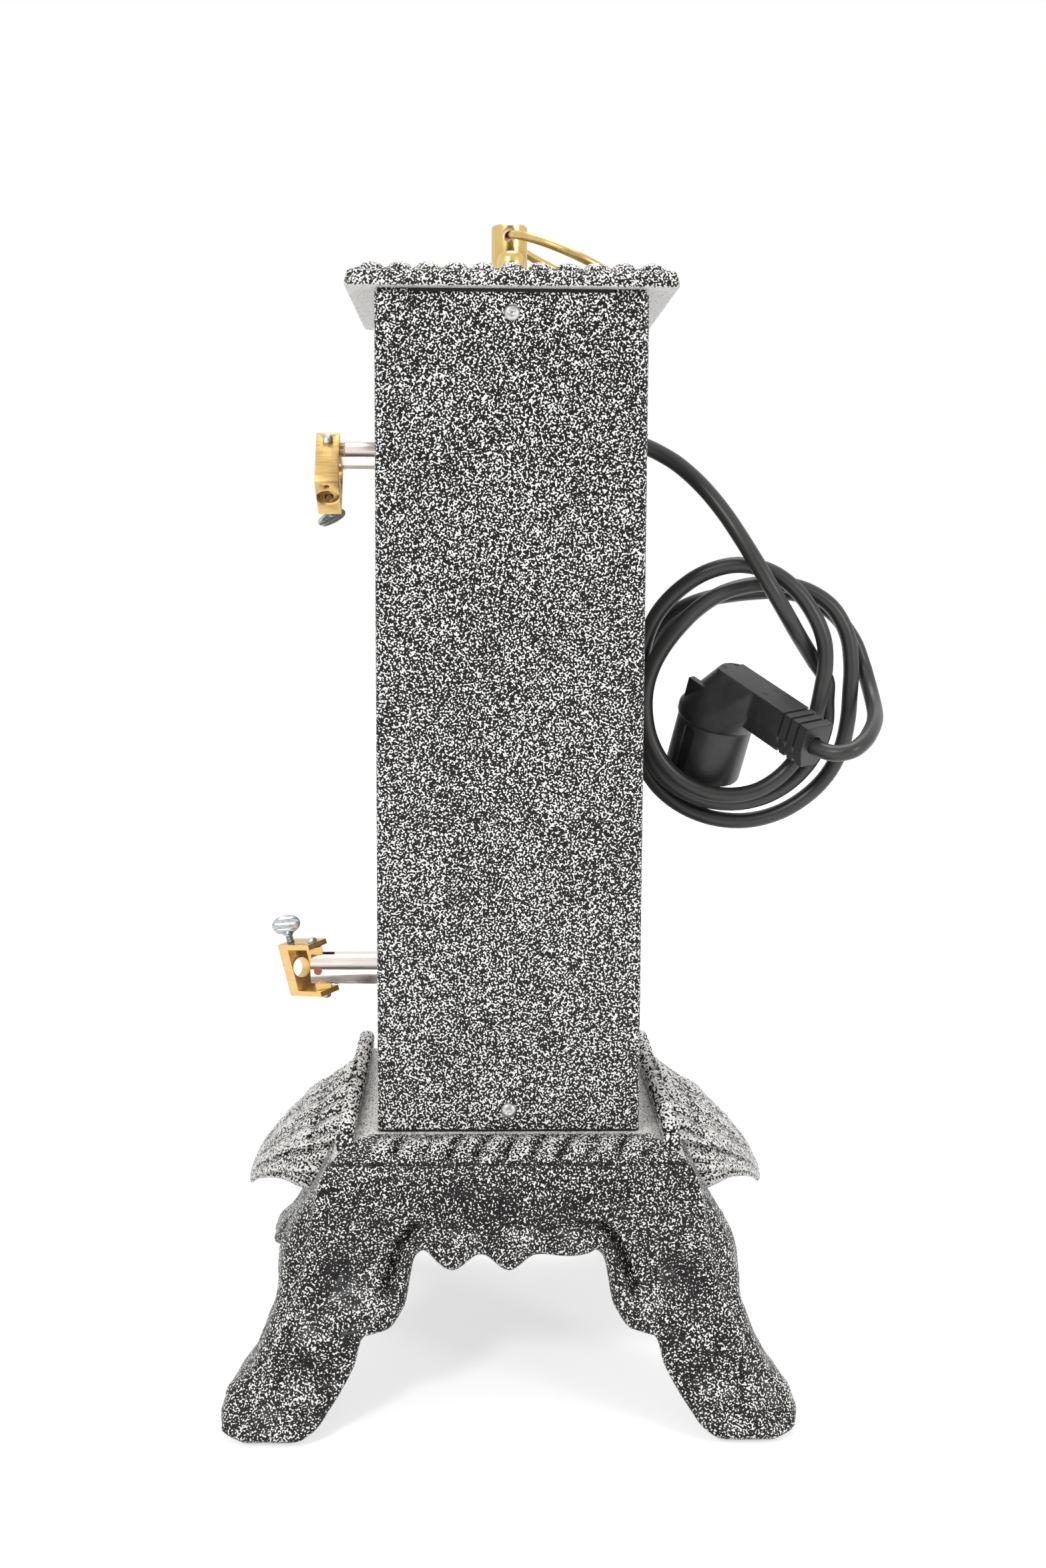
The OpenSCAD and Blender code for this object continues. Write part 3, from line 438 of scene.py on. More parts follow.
# --- Stand: one iron casting, a square skirt on four scrolled legs, with a scalloped apron on each
# side. It is sand cast about 7 mm thick and open below, then sprayed with the speckled enamel.
HALF = (59, 70)
FLARE = [(0, 53), (1.2, 57), (3, 59.8), (5, 60.2), (8, 57.8), (12, 54), (24, 48.7), (36, 45), (46, 40.2), (55, 35),
         (67, 30.6), (80, 28.4), (95, 26.7), (105, 24.7), (111, 21.5)]
SCROLL = [(0, 2), (4, 5), (10, 10.8), (17, 11), (25, 8), (32, 6), (40, 5.5), (47, 6), (55, 8),
          (61, 9.5), (67, 13), (74, 13.5), (82, 11), (90, 7), (97, 3), (105, 0), (111, 0)]
ARCH = [(95, 0), (90.5, 1.7), (85.5, 4.9), (79.5, 10), (72.5, 20), (67, 30), (65.2, 37), (63, 41), (58, 42.4),
        (52, 44.4), (48, 49), (45.2, 54), (43.5, 63), (41.6, 71.5), (38, 74.8), (35, 73.5)]
# The place on the outer edge that each point of the arch faces: heights up the corner, then on
# past 111 along the ridge
OUTER = [0, 2.2, 5.5, 12, 22, 34, 42, 48, 54, 62, 71, 80, 97, 111, 133.5, 145.5]
ridge_z = 111
deck_z = 120
cast_t = 7
edge_r = 3.0
ridge_out = 21.5


def eased(table, spread):
    """A table of heights and values as a smooth function."""
    z = np.linspace(-20, 140, 641)
    v = np.interp(z, [k[0] for k in table], [k[1] for k in table])
    first, last = table[0], table[-1]
    v = np.where(z < first[0], 2 * first[1] - np.interp(2 * first[0] - z, *zip(*table)), v)
    v = np.where(z > last[0], 2 * last[1] - np.interp(2 * last[0] - z, *zip(*table)), v)
    bell = np.exp(-0.5 * (np.arange(-24, 25) * 0.25 / spread) ** 2)
    soft = np.convolve(np.pad(v, 24, mode="edge"), bell / bell.sum(), mode="valid")
    return lambda at: np.interp(at, z, soft)


flare = eased(FLARE, 0.8)
scroll = eased(SCROLL, 1.8)
scroll_y = eased([(0, 0), (7, 0.75), (16, 1), (32, 0.9), (44, 0), (60, 0)], 1.6)


def apron(x):
    """The lower edge between the legs: two deep scallops and a flat one."""
    wave = 69.6 - 3.4 * np.cos(2 * np.pi * x / 25)
    return np.where(x > 12.5, 72.6 - 0.4 * np.cos(2 * np.pi * x / 25), wave)


def lump(u, z, at, height, size, stretch=1.0):
    """A round swelling of the casting."""
    return height * np.exp(-(((u - at[0]) / (size * stretch)) ** 2 + ((z - at[1]) / size) ** 2))


def crease(u, z, points, depth, width):
    """A groove along a broken line, fading out at its ends."""
    best = np.full(np.shape(u), 1e9)
    share = np.zeros(np.shape(u))
    n = len(points) - 1
    for i, (p, q) in enumerate(zip(points, points[1:])):
        d = np.subtract(q, p)
        s = np.clip(((u - p[0]) * d[0] + (z - p[1]) * d[1]) / (d @ d), 0, 1)
        far = np.hypot(u - p[0] - s * d[0], z - p[1] - s * d[1])
        share = np.where(far < best, (i + s) / n, share)
        best = np.minimum(best, far)
    return -depth * np.exp(-(best / width) ** 2) * np.sin(np.pi * np.clip(share, 0.02, 0.98)) ** 0.6


def wander(u, z, seed, size):
    """The slow unevenness of a hand-made pattern, from -1 to 1."""
    flat = np.array([noise.noise(Vector((a / size, b / size, seed))) for a, b in zip(u.ravel(), z.ravel())])
    return flat.reshape(u.shape)


def near_relief(u, z, x):
    """How far the near and far faces stand out at u, z, x mm in from the arch, and their level."""
    a = np.abs(u)
    legs = np.clip((a - 20) / 12, 0, 1) * np.clip((z - 34) / 18, 0, 1)
    rise = 2.6 * np.sin(np.pi * np.clip(x / 10.5, 0, 1)) * legs
    dark = crease(a, z, [(58.5, 51), (54.7, 60), (51.2, 69), (47, 80), (42, 85.3), (36, 87.3), (22, 85)], 3.4, 1.7)
    dark = dark + crease(a, z, [(100, 46), (88, 33), (78, 26), (70, 30)], 1.6, 4.0)
    dark = dark + crease(a, z, [(66, 84), (70, 70), (80, 58), (86, 44)], 1.3, 4.0)
    for at, height in (((-8, 86.5), -1.6), ((17, 86), -1.6), ((-4, 97), -2.0), ((22, 96), -1.4), ((-24, 97), -1.2)):
        dark = dark + lump(u, z, at, height, 6, 1.4)
    dark = dark + lump(a, z, (75, 66), -2.2, 7) + lump(a, z, (70, 41), -1.6, 5) + lump(a, z, (78, 12), -1.4, 5)
    glint = lump(a, z, (59, 54), 3.4, 4.5, 1.2) + lump(a, z, (90, 19), 2.8, 4.5, 1.2) + lump(a, z, (98, 6.5), 2.2, 4.5)
    glint = glint + lump(a, z, (84, 42), 1.4, 6)
    for at, height in (((-20, 79.5), 2.4), ((5, 79.5), 3.0), ((29, 80), 1.8), ((-34, 87), 0.9)):
        glint = glint + lump(u, z, at, height, 4.6, 1.3)
    rise = rise + dark + glint + 0.75 * wander(u, z, 2.3, 13) + 0.55 * wander(u, z, 7.1, 6)
    # The level is painted shade in the creases and dips and painted highlight on the glint lumps
    return rise, 1.25 * dark + 0.9 * glint + 0.6 * wander(u, z, 5.1, 9) - 0.4


def end_relief(u, z, x):
    """The same for the front and rear faces, whose legs swell into scrolls."""
    corner = HALF[1] + flare(z) - np.abs(u)
    rise = scroll(z) * scroll_y(corner)
    rise = rise + 1.8 * np.sin(np.pi * np.clip(x / 10, 0, 1)) * np.clip((z - 36) / 20, 0, 1)
    dark = crease(corner, z, [(19, 26), (18, 40), (20, 52)], 2.6, 3.5)
    glint = lump(corner, z, (12, 18), 2.4, 6) + lump(corner, z, (14, 60), 1.6, 7)
    rise = rise + dark + glint + 0.75 * wander(u, z, 4.9, 13) + 0.55 * wander(u, z, 9.7, 6)
    # Here too the level is painted shade in the creases and painted highlight on the glint lumps
    return rise, dark + 0.8 * glint - 0.4


def stand_side(half_u, half_d, widen, relief_of):
    """Grids of one side: the face and the inner skin, as (u, out, z, level), and the face's points on the ridge."""
    arch = [np.array((p[0] + widen, p[1])) for p in ARCH]
    left = [(-p[0], p[1], q) for p, q in zip(arch, OUTER)]
    a_line = []
    for i in range(len(left) - 1):
        p = [np.array(left[max(0, min(len(left) - 1, i + k))]) for k in (-1, 0, 1, 2)]
        steps = max(2, math.ceil(np.hypot(*(p[2] - p[1])[:2]) / 1.7), math.ceil((p[2] - p[1])[2] / 2.4))
        for j in range(steps):
            s = j / steps
            curve = 0.5 * (2 * p[1] + (p[2] - p[0]) * s + (2 * p[0] - 5 * p[1] + 4 * p[2] - p[3]) * s * s
                           + (3 * p[1] - 3 * p[2] + p[3] - p[0]) * s ** 3)
            a_line.append((curve[0], curve[1], p[1][2] + (p[2][2] - p[1][2]) * s))
    start = left[-1]
    ridge_half = half_u + ridge_out
    a_line.append(start)
    if widen:
        for s in (0.33, 0.66):
            a_line.append((start[0] + (-31.25 - start[0]) * s, 73.4, start[2] + 8 * s))
    q_apron = a_line[-1][2] + 6
    xs = np.linspace(-31.25, 31.25, 43)
    for x in xs:
        a_line.append((x, float(apron(np.array(x))), None))
    middle = [(u, z, q) for u, z, q in a_line if q is not None]
    n_mid = len(xs)
    right_half = [(-u, z, q) for u, z, q in middle[::-1]]
    edge = ridge_half - (q_apron - 111)
    spots = []
    for u, z, q in middle:
        spots.append((u, z, -1, q))
    for i, x in enumerate(xs):
        spots.append((x, float(apron(np.array(x))), 0, -edge + 2 * edge * i / (n_mid - 1)))
    for u, z, q in right_half:
        spots.append((u, z, 1, q))
    n = len(spots)
    A = np.array([(s[0], s[1]) for s in spots])
    B = np.zeros((n, 2))
    Bin = np.zeros((n, 2))
    shrink = (ridge_half - cast_t) / ridge_half
    for i, (u, z, side, q) in enumerate(spots):
        if side and q <= 111:
            B[i] = (side * (half_u + flare(q)), q)
            zi = q * 112 / 111
            Bin[i] = (side * (half_u + flare(min(zi, 111)) - cast_t), zi)
        else:
            along = side * (ridge_half - (q - 111)) if side else q
            B[i] = (along, ridge_z)
            Bin[i] = (along * shrink, 112)
    B[:, 0] = np.where(np.isclose(B[:, 1], ridge_z), np.clip(B[:, 0], -ridge_half, ridge_half), B[:, 0])
    L = np.hypot(*(B - A).T)
    way = (B - A) / L[:, None]
    rows = []
    for k in range(5):
        t = math.pi / 2 * k / 4
        x = np.full(n, edge_r * (1 - math.cos(t)))
        rows.append((x, -edge_r * (1 - math.sin(t))))
    for j in range(1, 45):
        e = j / 44
        rows.append((edge_r + (L - edge_r) * (0.5 * e + 0.5 * e * e), 0.0))
    outer = []
    for x, drop in rows:
        P = A + way * x[:, None]
        fade = np.clip((L - x) / (0.14 * L), 0, 1)
        fade = fade * fade * (3 - 2 * fade)
        foot = np.clip(P[:, 1] / 4, 0, 1)
        rise, level = relief_of(P[:, 0], P[:, 1], x)
        rise, level = rise * fade * foot, level * fade
        round_r = 0.7 + 8 * np.clip((52 - P[:, 1]) / 40, 0, 1) * np.clip((P[:, 1] + 2) / 6, 0.4, 1)
        past = half_u + flare(P[:, 1]) - np.abs(P[:, 0])
        bend = math.pi / 4 * np.clip(1 - past / round_r, 0, 1)
        u = np.where(past < round_r, np.sign(P[:, 0]) * (np.abs(P[:, 0]) + past - round_r * (1 - np.sin(bend))), P[:, 0])
        out = half_d + flare(P[:, 1]) + rise + drop - round_r * (1 - np.cos(bend))
        # A thin pale line along the rounded corner below the ridge: a painted highlight
        level = level + 1.6 * np.clip(1 - past / 1.6, 0, 1) * (P[:, 1] < 108)
        outer.append(np.column_stack((u, out, P[:, 1], level)))
    inner = []
    base = half_d + flare(A[:, 1]) - cast_t
    for j in range(9):
        e = j / 8
        P = A + (Bin - A) * e
        out = half_d + flare(np.minimum(P[:, 1], 111)) - cast_t
        inner.append(np.column_stack((P[:, 0], out, P[:, 1], 0 * out)))
    top = [i for i in range(n) if abs(B[i, 1] - ridge_z) < 1e-9]
    return np.array(outer), np.array(inner), top


def shoulder_rows(edge, slanted):
    """Rows from the ridge up to the deck: a groove, then a moulding of slanted lobes."""
    rows = []
    half = np.abs(edge[:, 0]).max()
    inward = 19.0
    for j in range(1, 37):
        a = j / 36
        u = edge[:, 0] * (half - inward * a) / half
        out = edge[:, 1] - inward * a
        z = ridge_z + (deck_z - 0.1 - ridge_z) * math.sin(a * math.pi / 2) ** 0.9
        groove = math.exp(-((a - 0.055) / 0.03) ** 2)
        push = np.zeros(len(u))
        if slanted:
            phase = (u - 9 * (a - 0.5)) / 12.4
            lobes = np.abs(np.sin(np.pi * phase)) ** 0.5
            reach = np.clip((half - 12 * a - 10 - np.abs(u)) / 6, 0, 1)
            push = 4.6 * (lobes - 0.62) * math.sin(math.pi * min(1, a * 1.04)) ** 0.8 * reach
        push = push + 0.6 * wander(u, np.full(len(u), a * 20), 3.1, 7) * math.sin(math.pi * a)
        # The fourth value is the level: painted shade in the groove under the ridge and between the lobes, painted
        # highlight on the lobes, and painted light on the end shoulders and the deck's edge, seen at a slant
        rows.append(np.column_stack((u, out + 0.5 * push, z + 0.75 * push - 1.5 * groove,
                                     2 * push - 6 * groove + (0 if slanted else 7) + 7 * (a > 0.97))))
    return np.array(rows)


def put_grid(mesh, grid, turn, level):
    """Adds a grid of points in mm to a mesh, one face for each cell; the fourth value is kept."""
    made = []
    for row in grid:
        made.append([mesh.verts.new(turn(p) * MM) for p in row])
        for vert, p in zip(made[-1], row):
            vert[level] = p[3]
    for one, two in zip(made, made[1:]):
        for k in range(len(one) - 1):
            mesh.faces.new((one[k], one[k + 1], two[k + 1], two[k]))
    return made


TURNS = [lambda p: Vector((p[0], -p[1], p[2])), lambda p: Vector((p[1], p[0], p[2])),
         lambda p: Vector((-p[0], p[1], p[2])), lambda p: Vector((-p[1], -p[0], p[2]))]
casting = bmesh.new()
level = casting.verts.layers.float.new("level")
for k, turn in enumerate(TURNS):
    sizes = (HALF[0], HALF[1], 0, near_relief) if k % 2 == 0 else (HALF[1], HALF[0], 11, end_relief)
    face, skin, top = stand_side(*sizes)
    wall = (face[0] * 2 + skin[0]) / 3, (face[0] + skin[0] * 2) / 3
    put_grid(casting, np.concatenate((skin[::-1], [wall[1], wall[0]], face)), turn, level)
    ridge = face[-1][top]
    put_grid(casting, np.concatenate(([ridge], shoulder_rows(ridge, k % 2 == 0))), turn, level)
bmesh.ops.remove_doubles(casting, verts=casting.verts, dist=0.00006)
bmesh.ops.dissolve_degenerate(casting, edges=casting.edges, dist=0.00002)
open_edges = [e for e in casting.edges if e.is_boundary]
print("casting open edges", len(open_edges))
bmesh.ops.holes_fill(casting, edges=open_edges, sides=0)
print("left open", sum(e.is_boundary for e in casting.edges), "bad", sum(not e.is_manifold for e in casting.edges))
bmesh.ops.recalc_face_normals(casting, faces=casting.faces)
bmesh.ops.triangulate(casting, faces=[f for f in casting.faces if len(f.verts) > 4])
made = bpy.data.meshes.new("stand_casting")
casting.to_mesh(made)
casting.free()
print("casting faces", len(made.polygons))


# Speckled enamel: a near-black coat, then an off-white one spattered on it that draws together in
# short worms. Both are glossy. A piece's "level" in mm shifts the share of the pale coat, and is 0 where a
# piece has none: a low level is painted shade in creases, grooves and hollows, and a high level is painted
# highlight on lumps, edges and faces seen at a slant. In part it also stands for the spatter lying thinner
# in creases and thicker on what stands out.
def speckled_enamel(name, worm, dark, pale, cover=0.0, soft=0.05, proud=0.05, foot=None):
    """The enamel; worm is the size of its worms in mm, cover shifts the share of the pale coat."""
    finish, tree, shader, place = new_finish(name, Roughness=0.48, Specular_IOR_Level=0.22, Coat_Weight=0.15,
                                             Coat_Roughness=0.24)
    turned = add(tree, "ShaderNodeMapping", {"Rotation": (0.5, 0.8, 0.35)}, {"Vector": place}).outputs["Vector"]
    worms = add(tree, "ShaderNodeTexNoise", {"Scale": 1000 / worm, "Detail": 0.3, "Roughness": 0.3},
                {"Vector": turned}).outputs["Fac"]
    drift = add(tree, "ShaderNodeTexNoise", {"Scale": 30, "Detail": 2}, {"Vector": place}).outputs["Fac"]
    shift = add(tree, "ShaderNodeMath", {1: 0.06, 2: cover - 0.03}, {0: drift}, operation="MULTIPLY_ADD")
    # The level attribute: painted shade where it is low, painted highlight where it is high
    level = add(tree, "ShaderNodeAttribute", attribute_name="level").outputs["Fac"]
    spatter_and_painted_light = add(tree, "ShaderNodeMapRange", {"From Min": -3.0, "From Max": 9.0, "To Min": -0.12, "To Max": 0.223},
                {"Value": level}).outputs["Result"]
    spatter_and_painted_light = add(tree, "ShaderNodeMath", {1: -0.0343}, {0: spatter_and_painted_light}, operation="SUBTRACT").outputs[0]
    shift = add(tree, "ShaderNodeMath", links={0: shift.outputs[0], 1: spatter_and_painted_light}, operation="ADD").outputs[0]
    worms = add(tree, "ShaderNodeMath", links={0: worms, 1: shift}, operation="ADD").outputs[0]
    colour = tones(tree, worms, (0.5 - soft, dark), (0.5, "#7f7b78"), (0.5 + soft, pale))
    # A dark band up to 0.9 to 1.5 mm above the foot height: painted shade of the gap under the sheet's lower edge
    if foot:
        height = add(tree, "ShaderNodeSeparateXYZ", links={"Vector": place}).outputs["Z"]
        painted_gap_shade = add(tree, "ShaderNodeMapRange", {"From Min": (foot + 0.9) * MM, "From Max": (foot + 1.5) * MM},
                        {"Value": height})
        colour = add(tree, "ShaderNodeMix", {"A": linear("#191717")},
                     {"Factor": painted_gap_shade.outputs["Result"], "B": colour}, data_type="RGBA").outputs["Result"]
    tree.links.new(colour, shader.inputs["Base Color"])
    relief = add(tree, "ShaderNodeBump", {"Strength": 0.5, "Distance": proud * MM}, {"Height": worms})
    orange = add(tree, "ShaderNodeTexNoise", {"Scale": 260, "Detail": 2}, {"Vector": place}).outputs["Fac"]
    peel = add(tree, "ShaderNodeBump", {"Strength": 0.5, "Distance": 0.2 * MM},
               {"Height": orange, "Normal": relief.outputs["Normal"]})
    tree.links.new(peel.outputs["Normal"], shader.inputs["Normal"])
    return finish


casting_enamel = speckled_enamel("speckled_enamel_on_casting", 0.8, "#100d0e", "#f8f6f3", cover=-0.083,
                                 soft=0.035, proud=0.05)
stand_casting = link_mesh("stand_casting", made, casting_enamel, smooth_angle=50)

# --- Shells: a beak of fluted shell on the front and rear of the stand, cast in one with it.
# Flutes run from the tower to the beak, and gills cross them beside the beads.
SHELL = [((75, 129), (84, 70), 1), ((82, 125), (90, 75), 1), ((89, 120), (96, 78.5), 0.95),
         ((96, 115.5), (101, 81), 0.87), ((102, 110), (106, 82), 0.76), ((109.5, 103), (111, 81.8), 0.63),
         ((115.6, 96.5), (116, 80), 0.48), ((121, 88.7), (120, 77), 0.3),
         ((124.6, 80), (123.4, 73.6), 0.14), ((124.6, 75.5), (124.2, 73.2), 0.05)]
shell_w = 62


def shell_grid(along, around):
    """Rings of the shell from its root to its tip."""
    flat = [[k[0][0], k[0][1], k[1][0], k[1][1], k[2]] for k in SHELL]
    rows = []
    for j in range(along + 1):
        s = j / along * (len(SHELL) - 1)
        tx, tz, bx, bz, w = (smooth_value([f[c] for f in flat], s) for c in range(5))
        share = s / (len(SHELL) - 1)
        row = []
        for i in range(around):
            a = 2 * math.pi * i / around
            flute = 1 + 0.06 * math.cos(26 * a) * (1 - share) ** 1.3 + 0.06 * math.cos(10 * a) * share * (1 - share) * 3
            swell = 1 - 0.06 * max(0, math.sin(a)) * sum(math.exp(-((share - at) / 0.035) ** 2) for at in (0.21, 0.42, 0.66))
            swell = swell + 0.09 * noise.noise(Vector((share * 6, 2.5 * math.cos(a), 2.5 * math.sin(a)))) * (1 - share)
            gill = 0.02 * math.sin(share * 34 + 3 * math.cos(a)) * max(0, math.sin(a)) * (1 - share)
            r = flute * swell + gill
            # The fourth value is the level: painted highlight on the raised flutes and swellings, painted shade in the
            # flutes and notches between them
            row.append(((tx + bx) / 2 + (tx - bx) / 2 * math.sin(a) * r, shell_w * w * math.cos(a) * min(r, 1.02),
                        (tz + bz) / 2 + (tz - bz) / 2 * math.sin(a) * r, 36 * (r - 0.96) + 0.3))
        rows.append(row)
    return rows


shells = bmesh.new()
level = shells.verts.layers.float.new("level")
for s in (-1, 1):
    rings = []
    for row in shell_grid(90, 168):
        rings.append([shells.verts.new(Vector((s * x, y, z)) * MM) for x, y, z, rise in row])
        for vert, spot in zip(rings[-1], row):
            vert[level] = spot[3]
    n = len(rings[0])
    for one, two in zip(rings, rings[1:]):
        for k in range(n):
            shells.faces.new((one[k], one[(k + 1) % n], two[(k + 1) % n], two[k]))
    shells.faces.new(rings[0])
    shells.faces.new(rings[-1])
bmesh.ops.recalc_face_normals(shells, faces=shells.faces)
bmesh.ops.triangulate(shells, faces=[f for f in shells.faces if len(f.verts) > 4])
made = bpy.data.meshes.new("stand_shells")
shells.to_mesh(made)
shells.free()
shell_enamel = speckled_enamel("speckled_enamel_on_shell", 1.05, "#131011", "#fdfbf8", cover=-0.03, soft=0.03)
stand_shells = link_mesh("stand_shells", made, shell_enamel, smooth_angle=60)


# --- Bead rows: thirteen round beads on a rail, on the front and rear of the deck.
# They are cast with the stand, so their joints are soft and full of enamel.
def bead_tree(name):
    """Geometry Nodes that set a bead on every point of the rail's line."""
    group = bpy.data.node_groups.new(name, "GeometryNodeTree")
    face_of = group.interface
    face_of.new_socket("Geometry", in_out="INPUT", socket_type="NodeSocketGeometry")
    for label in ("Pitch", "Radius", "Flatness"):
        face_of.new_socket(label, in_out="INPUT", socket_type="NodeSocketFloat")
    face_of.new_socket("Finish", in_out="INPUT", socket_type="NodeSocketMaterial")
    face_of.new_socket("Geometry", in_out="OUTPUT", socket_type="NodeSocketGeometry")
    given = add(group, "NodeGroupInput").outputs
    points = add(group, "GeometryNodeCurveToPoints", links={"Curve": given["Geometry"],
                 "Length": given["Pitch"]}, mode="LENGTH")
    bead = add(group, "GeometryNodeMeshUVSphere", {"Segments": 28, "Rings": 16}, {"Radius": given["Radius"]})
    shape = add(group, "ShaderNodeCombineXYZ", {"X": 1, "Y": 1}, {"Z": given["Flatness"]})
    laid = add(group, "GeometryNodeInstanceOnPoints", links={"Points": points.outputs["Points"],
               "Instance": bead.outputs["Mesh"], "Scale": shape.outputs["Vector"]})
    real = add(group, "GeometryNodeRealizeInstances", links={"Geometry": laid.outputs["Instances"]})
    smooth = add(group, "GeometryNodeSetShadeSmooth", links={"Geometry": real.outputs["Geometry"]})
    painted = add(group, "GeometryNodeSetMaterial", links={"Geometry": smooth.outputs["Geometry"],
                  "Material": given["Finish"]})
    add(group, "NodeGroupOutput", links={"Geometry": painted.outputs["Geometry"]})
    return group


def bead_row(name, lines, finish, pitch, radius, flatness):
    """A piece of beads, spaced by pitch along each line of points in mm."""
    curve = bpy.data.curves.new(name, "CURVE")
    curve.dimensions = "3D"
    for line in lines:
        spline = curve.splines.new("POLY")
        spline.points.add(len(line) - 1)
        for spot, p in zip(spline.points, line):
            spot.co = (p[0] * MM, p[1] * MM, p[2] * MM, 1)
    made = bpy.data.objects.new(name, curve)
    bpy.context.scene.collection.objects.link(made)
    step = made.modifiers.new("beads", "NODES")
    step.node_group = beads_on_line
    for item in beads_on_line.interface.items_tree:
        values = {"Pitch": pitch * MM, "Radius": radius * MM, "Flatness": flatness, "Finish": finish}
        if item.in_out == "INPUT" and item.name in values:
            step[item.identifier] = values[item.name]
    bpy.context.view_layer.update()
    mesh = bpy.data.meshes.new_from_object(made.evaluated_get(bpy.context.evaluated_depsgraph_get()))
    mesh.name = name
    bpy.data.objects.remove(made)
    bpy.data.curves.remove(curve)
    # The level rises with height on each bead: painted highlight on the bead tops, painted shade at their feet
    height = np.array([v.co.z for v in mesh.vertices]) / MM - lines[0][0][2]
    mesh.attributes.new("level", "FLOAT", "POINT").data.foreach_set("value", 5 * height / (radius * flatness) - 0.5)
    return link_mesh(name, mesh, finish, smooth_angle=180)


beads_on_line = bead_tree("beads_on_line")
rail_x = 72.5
bead_pitch = 13
stand_beads = bead_row("stand_beads", [[(s * rail_x, -6 * bead_pitch - 0.01, deck_z + 4.5),
                                        (s * rail_x, 6 * bead_pitch + 0.01, deck_z + 4.5)] for s in (-1, 1)],
                       shell_enamel, bead_pitch, 4.1, 1.05)


def rounded_box(name, lows, highs, r, finish, segments=3):
    """Boxes with rounded edges, as one piece."""
    mesh = bmesh.new()
    for low, high in zip(lows, highs):
        block(mesh, [c * MM for c in low], [c * MM for c in high])
    bmesh.ops.bevel(mesh, geom=mesh.edges[:], offset=r * MM, segments=segments, profile=0.5, affect="EDGES")
    bmesh.ops.recalc_face_normals(mesh, faces=mesh.faces)
    made = bpy.data.meshes.new(name)
    mesh.to_mesh(made)
    mesh.free()
    return link_mesh(name, made, finish, smooth_angle=60)


stand_rails = rounded_box("stand_rails", [(68.8, -84, 114.5), (-77, -84, 114.5)], [(77, 84, 123), (-68.8, 84, 123)],
                          2.0, shell_enamel)
for piece in (stand_casting, stand_shells, stand_beads, stand_rails):
    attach(piece, "tower")
    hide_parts("stand")

# --- Stand's fastenings: two steel tie rods clamp cap, tower and stand, with a nut and a washer
# under the deck. Bright zinc plating on turned and pressed steel.
def metal(name, stops, roughness, run, across, axis=2, bump=0.02, spread=0.12, **sockets):
    """A metal whose grain runs along an axis; run and across are the grain's sizes in mm."""
    finish, tree, shader, place = new_finish(name, Metallic=1.0, **sockets)
    sizes = [1000 / across] * 3
    sizes[axis] = 1000 / run
    grain_place = add(tree, "ShaderNodeMapping", {"Scale": sizes}, {"Vector": place}).outputs["Vector"]
    grain = add(tree, "ShaderNodeTexNoise", {"Scale": 1, "Detail": 3}, {"Vector": grain_place}).outputs["Fac"]
    stain = add(tree, "ShaderNodeTexNoise", {"Scale": 130, "Detail": 4, "Roughness": 0.6},
                {"Vector": place}).outputs["Fac"]
    both = add(tree, "ShaderNodeMath", {1: 0.1}, {0: stain, 2: grain}, operation="MULTIPLY_ADD").outputs[0]
    tree.links.new(tones(tree, both, *stops), shader.inputs["Base Color"])
    rough = add(tree, "ShaderNodeMapRange", {"From Min": 0.3, "From Max": 0.8, "To Min": roughness - spread / 2,
                "To Max": roughness + spread}, {"Value": both})
    tree.links.new(rough.outputs["Result"], shader.inputs["Roughness"])
    relief = add(tree, "ShaderNodeBump", {"Strength": 0.5, "Distance": bump * MM}, {"Height": grain})
    tree.links.new(relief.outputs["Normal"], shader.inputs["Normal"])
    return finish


zinc_plate = metal("zinc_plated_steel", ((0.2, "#a9abab"), (0.55, "#c9caca"), (0.95, "#e4e5e4")), 0.28, 6, 0.5)
rod_steel = metal("drawn_steel_rod", ((0.4, "#7c7e81"), (0.7, "#b4b6b8")), 0.3, 20, 0.4)
dress(["tie_rod_nuts", "motor_screws"], zinc_plate)
dress(["tie_rods"], rod_steel)

# --- Tower: two folded panels stand on a pan, and the side covers wrap round them.
# Steel sheet 1.2 mm thick, sprayed with the same enamel, whose worms are larger on flat sheet.
# Its lower edge, just above the deck, gets a dark band of painted shade
sheet_enamel = speckled_enamel("speckled_enamel_on_sheet", 0.83, "#0e0b0c", "#faf8f6", cover=-0.06, soft=0.03,
                               proud=0.04, foot=deck_z)
dress(["side_cover_near", "side_cover_far", "front_panel", "rear_panel"], sheet_enamel)


def lathed(mesh, profile, place, steps=40):
    """Adds a turned body to a mesh: its profile of (radius, height) in mm, stood at a place."""
    rings = []
    for r, z in profile:
        if r == 0:
            rings.append([mesh.verts.new(place @ Vector((0, 0, z)) * MM)] * steps)
        else:
            rings.append([mesh.verts.new(place @ Vector((r * math.cos(2 * math.pi * k / steps),
                                                         r * math.sin(2 * math.pi * k / steps), z)) * MM)
                          for k in range(steps)])
    for one, two in zip(rings, rings[1:]):
        for k in range(steps):
            corners = list(dict.fromkeys((one[k], one[(k + 1) % steps], two[(k + 1) % steps], two[k])))
            mesh.faces.new(corners)


